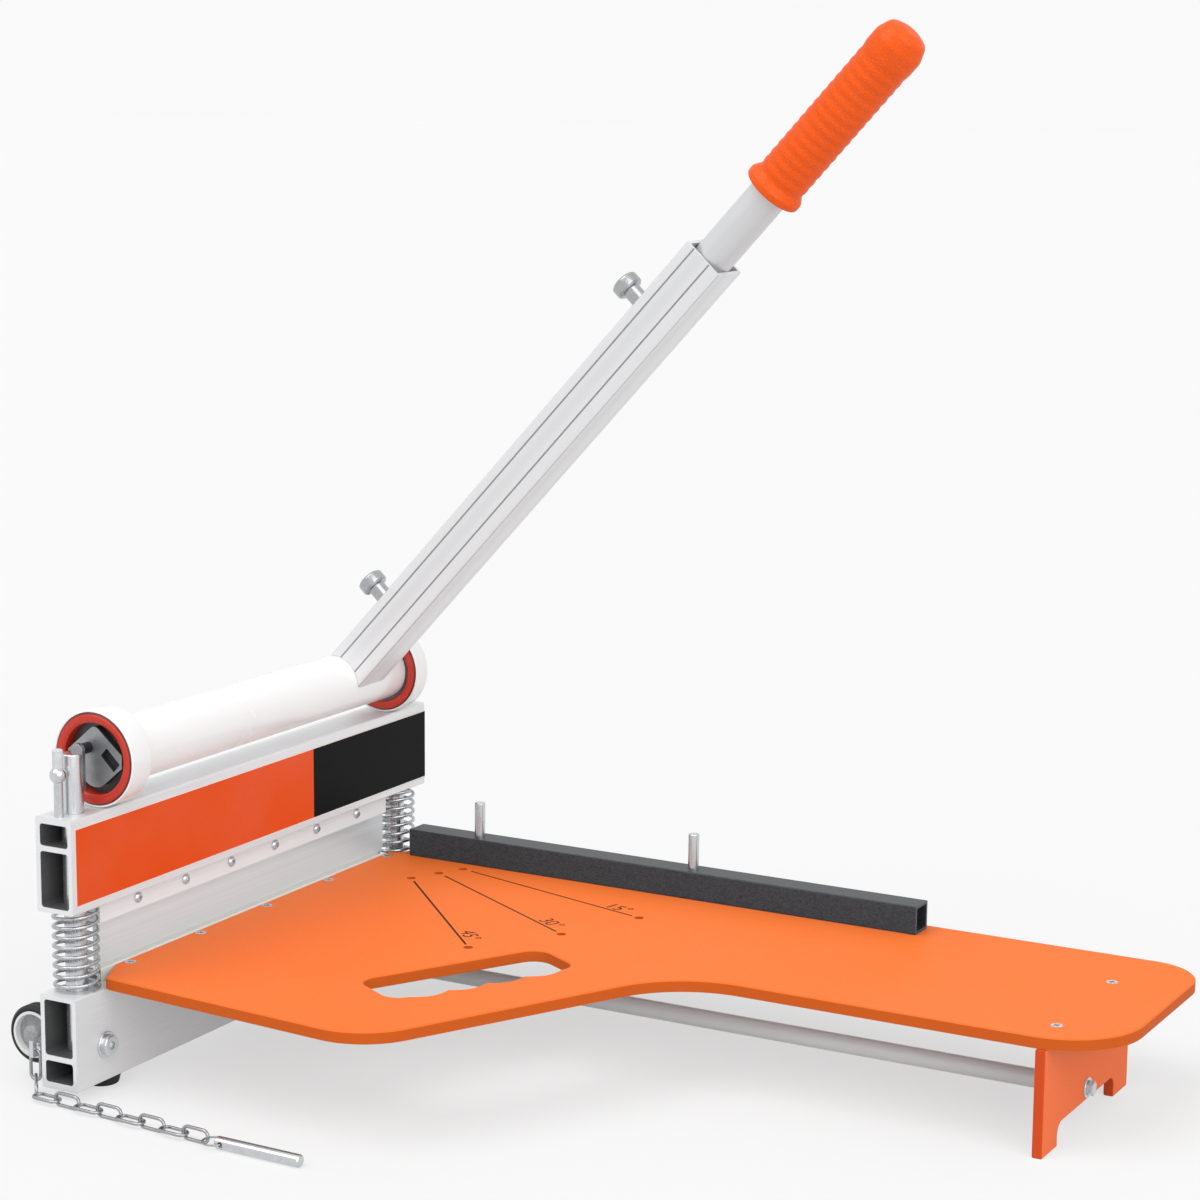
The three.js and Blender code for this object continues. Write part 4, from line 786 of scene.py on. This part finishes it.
class CUTTER_OT_springs(bpy.types.Operator):
    """Winds the two return springs"""

    bl_idname = "cutter.springs"
    bl_label = "Return springs"

    def execute(self, context):
        sizes = context.scene.cutter_sizes
        wire = sizes.spring_wire / 2
        steps = 56
        count = round(sizes.spring_turns * steps)
        rise = [self.pitch(index / steps, sizes.spring_turns) for index in range(count)]
        for end, side in ENDS:
            name = f"return_spring_{end}"
            low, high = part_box(name)
            centre = middle_of(name)
            mean = (high.x - low.x) / 2 - wire
            height, route = 0.0, []
            for index in range(count + 1):
                turn = 2 * math.pi * index / steps
                route.append((mean * math.cos(turn), mean * math.sin(turn), height))
                if index < count:
                    height += (high.z - low.z - 2 * wire) * rise[index] / sum(rise)
            where = standing((centre.x, centre.y, low.z + wire), across=-side * X)
            made = piece(f"spring_{end}", sweep(route, wire, 18), where, "spring wire", None,
                         [name], sharp=60)
            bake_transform(made)
        return {"FINISHED"}

    def pitch(self, turn, turns):
        """Less rise in the first and last turn, where the spring is closed"""
        closed_rise, closing = 0.35, 0.8
        return closed_rise + (1 - closed_rise) * min(1.0, min(turn, turns - turn) / closing)


# ---- drum and lever

class CUTTER_OT_drum(bpy.types.Operator):
    """Makes the drum's white tube and collars, and its red rings"""

    bl_idname = "cutter.drum"
    bl_label = "Drum"

    def execute(self, context):
        start, length, radius = round_node("drum_tube", "y")
        wall = 0.0026
        drum = tube(radius - wall, radius, length, 0.0004, 0.0006, 96)
        piece("drum", drum, standing(start, Y), "white coat", "lever", ["drum_tube"])
        for end, side in ENDS:
            self.collar(end, side, start)
            self.ring(end, side, start)
        return {"FINISHED"}

    def collar(self, end, side, axis):
        low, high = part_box(f"drum_collar_{end}")
        radius, wall = (high.x - low.x) / 2, 0.0013
        shell = tube(radius - wall, radius, high.y - low.y, 0.0003, 0.0010, 128)
        face = low.y if side < 0 else high.y
        piece(f"collar_{end}", shell, standing((axis.x, face, axis.z), -side * Y), "white coat", "lever",
              [f"drum_collar_{end}"])

    def ring(self, end, side, axis):
        """A rounded face with a shallow groove near its outer edge"""
        low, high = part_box(f"collar_ring_{end}")
        hub_low, hub_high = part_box(f"drum_hub_{end}")
        radius, width = (high.x - low.x) / 2, high.y - low.y
        bore = (hub_high.x - hub_low.x) / 2 + 0.0003
        ring = turned([(bore, 0, 0.0008), (radius, 0, 0.0008), (radius, width - 0.0008, 0.0004),
                       (radius - 0.0007, width - 0.0002, 0.0003), (radius - 0.0012, width - 0.0006, 0.0003),
                       (radius - 0.0018, width, 0.0008), (bore + (radius - bore) * 0.25, width, 0.002),
                       (bore, width - 0.0010, 0.0006)], 128, closed=True)
        face = high.y if side < 0 else low.y
        piece(f"ring_{end}", ring, standing((axis.x, face, axis.z), side * Y), "red rubber", "lever",
              [f"collar_ring_{end}"], sharp=50)


# Along the handle, out of its upper side, and where its middle line meets the drum's axis
handle_reach = Vector(joint_named("handle_extend")["axis"]).normalized()
handle_up = handle_reach.cross(Y)
handle_up = handle_up if handle_up.z > 0 else -handle_up
handle_start = Vector((middle_of("drum_tube").x, middle_of("handle_tube").y, middle_of("drum_tube").z))


def reach_of(node, direction):
    """How far a CAD node reaches in a direction from the handle's start: its lowest and highest"""
    reaches = [(vertex.co - handle_start).dot(direction) for vertex in nodes[node].data.vertices]
    return min(reaches), max(reaches)


class CUTTER_OT_handle(bpy.types.Operator):
    """Makes the inner tube, the grip and the two thumb screws"""

    bl_idname = "cutter.handle"
    bl_label = "Handle"

    def execute(self, context):
        along = standing(handle_start, handle_reach, -Y)
        start, end = reach_of("inner_tube", handle_reach)
        bore, radius = 0.011, 0.013
        inner = turned([(bore, start, 0.0004), (radius, start, 0.0004), (radius, end, 0.0006),
                        (bore, end, 0.0004)], 128, closed=True)
        piece("inner_sleeve", inner, along, "inner tube aluminium", "extension", ["inner_tube"])
        piece("rubber_grip", self.grip(), along, "grip rubber", "extension", ["grip"],
              sharp=50)
        for end in ("lower", "upper"):
            self.thumb_screw(end)
        return {"FINISHED"}

    def grip(self):
        start, end = reach_of("grip", handle_reach)
        bore, collar, body = 0.0133, 0.0200, 0.0175
        floor = end - 0.008
        return turned([(bore, start), (collar, start, 0.0012), (collar, start + 0.0045, 0.0016),
                       (0.0168, start + 0.0095, 0.003), *self.ribs(start + 0.011, end - 0.027),
                       (0.0170, end - 0.025, 0.001), (body, end - 0.022, 0.002), (body, end - 0.012, 0.009),
                       (0.0140, end - 0.0028, 0.005), (0.0068, end, 0.01), (0, end), (0, floor),
                       (bore, floor)], 160, closed=True, steps=8)

    def ribs(self, start, end):
        """The grip's shallow rings, as (radius, along) points"""
        count, steps = 14, 8
        radius, height = 0.0169, 0.00022
        turns = [index / steps for index in range(count * steps + 1)]
        return [(radius - height * math.cos(2 * math.pi * turn), start + (end - start) * turn / count)
                for turn in turns]

    def thumb_screw(self, end):
        name = f"thumb_screw_{end}"
        tip, top = reach_of(name, handle_up)
        face = reach_of("handle_tube", handle_up)[1] + 0.0003
        head = top - 0.0088
        thread, neck, knob, slope, dimple = 0.004, 0.006, 0.0095, 0.0014, top - 0.0004
        screw = turned([(0, tip), (thread, tip, 0.0005), (thread, face), (neck, face, 0.0004),
                        (neck, head - 0.0004, 0.0004), (0.0082, head, 0.0004), (knob, head + slope, 0.001),
                        (knob, top - slope, 0.0012), (0.0080, top, 0.001), (0.0026, top),
                        (0.0022, dimple), (0, dimple)])
        low, high = reach_of(name, handle_reach)
        where = standing(handle_start + handle_reach * (low + high) / 2, handle_up, handle_reach)
        piece(f"thumb_{end}", screw, where, "turned steel", f"{end}_knob", [name], sharp=40)


# ---- fixings

# How far a tool stands out of the face that it cuts
CLEAR = 0.001


class CUTTER_OT_screws(bpy.types.Operator):
    """Makes the screws, bolts and washers"""

    bl_idname = "cutter.screws"
    bl_label = "Screws"

    def execute(self, context):
        for name in [*(f"table_screw_{index}" for index in range(1, 6)), "leg_screw_1", "leg_screw_2"]:
            self.table_screw(name, 25.0 * len(name) + 40.0 * int(name[-1]))
        for index in range(1, 7):
            self.blade_screw(f"blade_screw_{index}", 35.0 * index)
        self.rod_screw()
        for end in ("front", "rear"):
            self.bracket_bolt(end)
        self.keeper()
        return {"FINISHED"}

    def table_screw(self, name, turn):
        start, length, radius = round_node(name, "z")
        seat, edge, recess = length - 0.0024, length - 0.0003, 0.0014
        head = turned([*shank(0.002, seat), (radius, edge), (radius, length), (0, length)], 48)
        head = carved(head, cross_recess(0.0046, 0.0011, length - recess, length + CLEAR))
        piece(f"{name}_head", head, standing(start, across=between(X, Y, turn)), "bright steel", "base",
              [name], sharp=30)

    def blade_screw(self, name, turn):
        start, length, radius = round_node(name, "x")
        seat, recess = length - 0.0022, 0.0013
        head = turned([*shank(0.002, seat), (radius, seat, 0.0002), (radius, seat + 0.0009, 0.0005),
                       (radius * 0.62, length, 0.0012), (0, length)], 48)
        head = carved(head, prism(hexagon(0.0024), length - recess, length + CLEAR))
        piece(f"{name}_head", head, standing(start, X, between(Y, Z, turn)), "bright steel", "blade_beam",
              [name])

    def rod_screw(self):
        start, length, radius = round_node("rod_screw", "x")
        seat = length - 0.0046
        washer, sunk = seat + 0.001, 0.0002
        body = turned([*shank(0.0025, seat), (radius, seat, 0.0002), (radius, washer, 0.0004),
                       (0.0040, washer), (0, washer)], 72)
        head = prism(hexagon(0.0086), washer - sunk, length)
        bmesh.ops.bevel(head, geom=head.edges[:], offset=0.0004, segments=2, affect="EDGES",
                        clamp_overlap=True)
        piece("rod_screw_head", joined(body, head), standing(start, X, between(Y, Z, 20)), "bright steel",
              "base", ["rod_screw"])

    def bracket_bolt(self, end):
        name = f"bracket_bolt_{end}"
        start, length, radius = round_node(name, "x")
        head, recess, seat = 0.0066, 0.0028, length - 0.005
        washer = seat + 0.0014
        bolt = turned([*shank(0.0024, seat), (radius, seat, 0.0003), (radius, washer, 0.0005), (head, washer),
                       (head, length - 0.0004, 0.0009), (0.0056, length, 0.0008), (0, length)])
        bolt = carved(bolt, prism(hexagon(0.005), length - recess, length + CLEAR))
        piece(f"bolt_{end}", bolt, standing(start, X, (0, 0.35, 1)), "bright steel", "base", [name])

    def keeper(self):
        start, height, radius = round_node("lock_keeper", "z")
        ball, foot, neck = 0.021 + radius, 0.003, 0.0034
        lowest, swing, steps = 32, 116, 18
        turns = [math.radians(lowest + swing * index / steps) for index in range(steps + 1)]
        nut = [(radius * math.sin(turn), ball - radius * math.cos(turn)) for turn in turns]
        top = nut[-1][1]
        stem = [(0, 0), (foot, 0), *nut, (0.0022, top), (0, top)]
        cap = [(0, top - 0.0004), (neck, top - 0.0004, 0.0003), (neck, height, 0.0012), (0, height)]
        for name, corners, finish, slot in (("keeper_stem", stem, "polished steel", "steel"),
                                            ("keeper_cap", cap, "clear cap", "white_plastic")):
            piece(name, turned(corners, 72), standing(start), finish, "blade_beam", ["lock_keeper"],
                  sharp=40)


class CUTTER_OT_pins(bpy.types.Operator):
    """Makes the fence pins, the brace rod and the rubber feet"""

    bl_idname = "cutter.pins"
    bl_label = "Pins, rod and feet"

    def execute(self, context):
        for end in ("left", "right"):
            name = f"fence_pin_{end}"
            start, length, radius = round_node(name, "z")
            # The shoulder stands just clear of the fence's lower wall
            stud, wall, gap = 0.003, 0.002, 0.00005
            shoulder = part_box("fence")[0].z + wall + gap - start.z
            pin = turned([(0, 0), (stud, 0, 0.0006), (stud, shoulder), (radius, shoulder),
                          (radius, length, 0.0007), (0, length)], 72)
            piece(f"{name}_bar", pin, standing(start), "polished steel", "fence_bar", [name])
        self.rod()
        for end in ("front", "rear"):
            name = f"rubber_foot_{end}"
            start, height, radius = round_node(name, "z")
            foot = turned([(0, 0), (radius - 0.0015, 0, 0.001), (radius, height - 0.0012, 0.0008),
                           (radius, height), (0, height)], 72)
            piece(f"foot_{end}", foot, standing(start), "black rubber", "base", [name])
        return {"FINISHED"}

    def rod(self):
        start, length, _ = round_node("brace_rod", "x")
        stud, stud_length, radius = 0.0025, 0.008, 0.006
        bore, bore_floor = 0.0028, length - 0.017
        rod = turned([(0, 0), (stud, 0), (stud, stud_length), (radius, stud_length, 0.0006),
                      (radius, length, 0.0006), (bore, length), (bore, bore_floor), (0, bore_floor)], 72)
        piece("brace", rod, standing(start, X, Z), "rod aluminium", "base", ["brace_rod"])


# ---- wheels and chain

class CUTTER_OT_wheels(bpy.types.Operator):
    """Makes the two transport wheels"""

    bl_idname = "cutter.wheels"
    bl_label = "Wheels"

    def execute(self, context):
        inner, shoulder, groove = 0.0156, 0.0018, 0.0007
        for end, side in ENDS:
            centre = middle_of(f"wheel_tyre_{end}")
            _, width, radius = round_node(f"wheel_tyre_{end}", "y")
            half = width / 2
            one_side = [(inner, -half, 0.0005), (radius - shoulder, -half, 0.0015),
                        (radius, -half + 0.0022, 0.001), (radius, -0.0010), (radius - groove, -0.0005)]
            other_side = [(corner[0], -corner[1], *corner[2:]) for corner in reversed(one_side)]
            tyre = turned([*one_side, *other_side], 128, closed=True)
            where = standing(centre, side * Y)
            piece(f"tyre_{end}", tyre, where, "tyre rubber", f"{end}_wheel",
                  [f"wheel_tyre_{end}"])
            self.hub(end, where, inner, half)
        return {"FINISHED"}

    def hub(self, end, where, inner, half):
        """A hub with a web between its bore and its rim, and a cap on its outer face"""
        _, width, _ = round_node(f"wheel_hub_{end}", "y")
        cap = width - 2 * half
        rim, bore, boss, web = inner - 0.0003, 0.0043, 0.0062, 0.0018
        inside = rim - 0.0020
        floor = 0.0048
        hub = turned([(bore, -half), (boss, -half, 0.0003), (boss, -web, 0.0006), (inside, -web, 0.0006),
                      (inside, -half, 0.0003), (rim, -half, 0.0004), (rim, half, 0.0004),
                      (inside, half, 0.0004), (inside - 0.0004, web, 0.0006), (0.0068, web, 0.0006),
                      (boss, half + cap / 2, 0.0006), (0.0031, half + cap, 0.001), (0, half + cap),
                      (0, floor), (bore, floor)], closed=True)
        piece(f"hub_{end}", hub, where, "hub plastic", f"{end}_wheel", [f"wheel_hub_{end}"])


class CUTTER_OT_chain(bpy.types.Operator):
    """Links the lock chain and lays it on the floor with its ring"""

    bl_idname = "cutter.chain"
    bl_label = "Lock chain"

    def execute(self, context):
        sizes = context.scene.cutter_sizes
        wire = sizes.chain_wire / 2
        hanging, sloping = Vector((-0.3018, -0.198, 0.0184)), Vector((-0.29701, -0.20371, 0.00712))
        slope = Vector((0.6304, -0.7513, -0.1954)).normalized()
        upright = (Z - slope * slope.z).normalized()
        links = [self.link(hanging, Z, X, sizes, wire), self.link(sloping, slope, upright, sizes, wire)]
        start, run = Vector((-0.29152, -0.21025, 0)), Vector((0.99756, -0.06976, 0)).normalized()
        flat_height, upright_height = 0.0037, 0.0052
        for index in range(8):
            lies_flat = index % 2 == 0
            along = run * (sizes.chain_link - 2 * wire) * (index + 0.5)
            centre = start + along + Z * (flat_height if lies_flat else upright_height)
            links.append(self.link(centre, run, Z.cross(run) if lies_flat else Z, sizes, wire))
        piece("chain_links", joined(*links), AS_MADE, "zinc chain", "base", ["lock_chain"], sharp=60)
        self.split_ring()
        return {"FINISHED"}

    def link(self, centre, along, across, sizes, wire):
        half, wide = sizes.chain_link / 2, sizes.chain_width / 2
        steps = 16
        route = []
        for sign in (1, -1):
            for step in range(steps + 1):
                turn = -math.pi / 2 + math.pi * step / steps
                reach = half - wide + wide * math.cos(turn)
                route.append(centre + along * sign * reach + across * sign * wide * math.sin(turn))
        return sweep(route, wire, 14, closed=True)

    def split_ring(self):
        """Two turns of thinner wire, one on the other"""
        centre = middle_of("split_ring")
        low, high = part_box("split_ring")
        thick = (high.z - low.z) / 2
        mean = (high.x - low.x) / 2 - thick
        thin = thick * 0.52
        turns, steps = 2, 72
        route = []
        for step in range(turns * steps + 1):
            turn = 2 * math.pi * step / steps
            height = 0.88 * thin * (2 * step / (turns * steps) - 1)
            route.append(centre + Vector((mean * math.cos(turn), mean * math.sin(turn), height)))
        piece("key_ring", sweep(route, thin, 12), AS_MADE, "zinc chain", "base", ["split_ring"],
              sharp=60)


# ---- table's marks

class CUTTER_OT_marks(bpy.types.Operator):
    """Lays the angle lines and their numbers on the table"""

    bl_idname = "cutter.marks"
    bl_label = "Angle marks"

    def execute(self, context):
        sizes = context.scene.cutter_sizes
        half = sizes.mark_width / 2
        first, last, number_at, number_rise = 0.0085, 0.1665, 0.1365, 0.0026
        sunk, ink = 0.00005, 0.00003
        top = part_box("table")[1].z
        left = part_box("upper_beam")[0].x + 0.014
        marks = []
        for angle, x, y in ((45, 0.057, 0.11705), (30, 0.067, 0.13805), (15, 0.076, 0.15605)):
            along = between(X, Y, -angle)
            start = Vector((left + x, y, top))
            line = prism([(first, -half), (last, -half), (last, half), (first, half)], -sunk, ink)
            line.transform(standing(start, across=along))
            number = self.number(f"{angle}\u00b0", sizes.mark_height, ink)
            number.transform(standing(start + along * number_at, across=along)
                             @ Matrix.Translation((0, number_rise, 0)))
            marks += [line, number]
        piece("angle_marks", joined(*marks), AS_MADE, "mark ink", "base")
        return {"FINISHED"}

    def number(self, words, height, ink):
        curve = bpy.data.curves.new("number", "FONT")
        curve.body = words
        curve.size = height
        curve.extrude = ink
        holder = shown("number", curve)
        bpy.context.view_layer.update()
        bm = bmesh.new()
        bm.from_mesh(holder.to_mesh())
        holder.to_mesh_clear()
        bpy.data.objects.remove(holder)
        bpy.data.curves.remove(curve)
        return bm


# ---- stage

class CUTTER_OT_stage(bpy.types.Operator):
    """Sets up the floor, the lights and the camera"""

    bl_idname = "cutter.stage"
    bl_label = "Stage"

    def execute(self, context):
        scene = context.scene
        scene.view_settings.view_transform = "Standard"
        self.floor(scene)
        self.world(scene)
        self.sun("Key light", (-0.5, -0.9, 1.7), 1.20, 50)
        self.sun("Fill light", (1.2, -0.7, 0.8), 1.20, 60)
        self.camera(scene)
        return {"FINISHED"}

    def floor(self, scene):
        """A pale floor, mostly as bright as the backdrop, so that shadows on it stay soft"""
        mesh = bpy.data.meshes.new("studio_floor")
        reach = 30
        corners = [(-reach, -reach, 0), (reach, -reach, 0), (reach, reach, 0), (-reach, reach, 0)]
        mesh.from_pydata(corners, [], [(0, 1, 2, 3)])
        floor = shown("studio_floor", mesh)
        paper = Finish("floor paper", tuple(scene.cutter_colours.backdrop), 0.95, specular=0.0)
        path = put(paper.tree, "ShaderNodeLightPath").outputs
        paper.tint(path["Is Diffuse Ray"], (0.62, 0.62, 0.62))
        glow = put(paper.tree, "ShaderNodeEmission", {"Strength": 0.95})
        share = calculate(paper.tree, "MULTIPLY", self.seen(paper.tree), 0.6)
        mix = put(paper.tree, "ShaderNodeMixShader", {
            0: share, 1: paper.shader.outputs[0], 2: glow.outputs[0]})
        paper.tree.links.new(mix.outputs[0], paper.tree.nodes["Material Output"].inputs["Surface"])
        mesh.materials.append(paper.material)

    def seen(self, tree):
        """1 where the camera, a reflection or a clear piece looks at it"""
        path = put(tree, "ShaderNodeLightPath").outputs
        reflected = calculate(tree, "MAXIMUM", path["Is Camera Ray"], path["Is Glossy Ray"])
        return calculate(tree, "MAXIMUM", reflected, path["Is Transmission Ray"])

    def world(self, scene):
        """Even light, and a brighter white where it is seen"""
        light, white = 0.55, 0.95
        world = bpy.data.worlds.new("studio")
        world.use_nodes = True
        tree = world.node_tree
        background = tree.nodes["Background"].inputs
        background["Color"].default_value = (1, 1, 1, 1)
        tree.links.new(remap(tree, self.seen(tree), 0.0, 1.0, light, white), background["Strength"])
        scene.world = world

    def sun(self, name, towards, strength, width):
        light = bpy.data.lights.new(name, "SUN")
        light.angle = math.radians(width)
        light.energy = strength
        shown(name, light).rotation_euler = Vector(towards).to_track_quat("Z", "Y").to_euler()

    def camera(self, scene):
        view = scene.cutter_view
        level, tilt = math.cos(view.tilt), math.sin(view.tilt)
        forward = Vector((-math.sin(view.turn) * level, math.cos(view.turn) * level, -tilt))
        right = Vector((math.cos(view.turn), math.sin(view.turn), 0))
        up = right.cross(forward)
        across = math.cos(view.roll) * right + math.sin(view.roll) * up
        rise = -math.sin(view.roll) * right + math.cos(view.roll) * up
        lens = bpy.data.cameras.new("Camera")
        lens.lens = view.lens
        lens.sensor_width = 36
        camera = shown("Camera", lens)
        facing = Matrix((across, rise, -forward)).transposed().to_4x4()
        camera.matrix_world = Matrix.Translation(Vector(view.place)) @ facing
        scene.camera = camera


class CUTTER_PT_panel(bpy.types.Panel):
    """Lists the steps that finish the cutter"""

    bl_idname = "CUTTER_PT_panel"
    bl_label = "Laminate cutter"
    bl_space_type = "VIEW_3D"
    bl_region_type = "UI"
    bl_category = "Cutter"

    def draw(self, context):
        for operator in operators:
            self.layout.operator(operator.bl_idname)


operators = (CUTTER_OT_frame, CUTTER_OT_posts, CUTTER_OT_springs, CUTTER_OT_drum, CUTTER_OT_handle,
             CUTTER_OT_screws, CUTTER_OT_pins, CUTTER_OT_wheels, CUTTER_OT_chain, CUTTER_OT_marks,
             CUTTER_OT_stage)
settings = (CutterColours, CutterSizes, CutterView)


def register():
    for kind in (*settings, *operators, CUTTER_PT_panel):
        bpy.utils.register_class(kind)
    bpy.types.Scene.cutter_colours = bpy.props.PointerProperty(type=CutterColours)
    bpy.types.Scene.cutter_sizes = bpy.props.PointerProperty(type=CutterSizes)
    bpy.types.Scene.cutter_view = bpy.props.PointerProperty(type=CutterView)


def unregister():
    del bpy.types.Scene.cutter_view
    del bpy.types.Scene.cutter_sizes
    del bpy.types.Scene.cutter_colours
    for kind in reversed((*settings, *operators, CUTTER_PT_panel)):
        bpy.utils.unregister_class(kind)


def main():
    register()
    make_materials()
    bpy.ops.cutter.frame()
    bpy.ops.cutter.posts()
    bpy.ops.cutter.springs()
    bpy.ops.cutter.drum()
    bpy.ops.cutter.handle()
    bpy.ops.cutter.screws()
    bpy.ops.cutter.pins()
    bpy.ops.cutter.wheels()
    bpy.ops.cutter.chain()
    bpy.ops.cutter.marks()
    bpy.ops.cutter.stage()


if __name__ == "__main__":
    main()
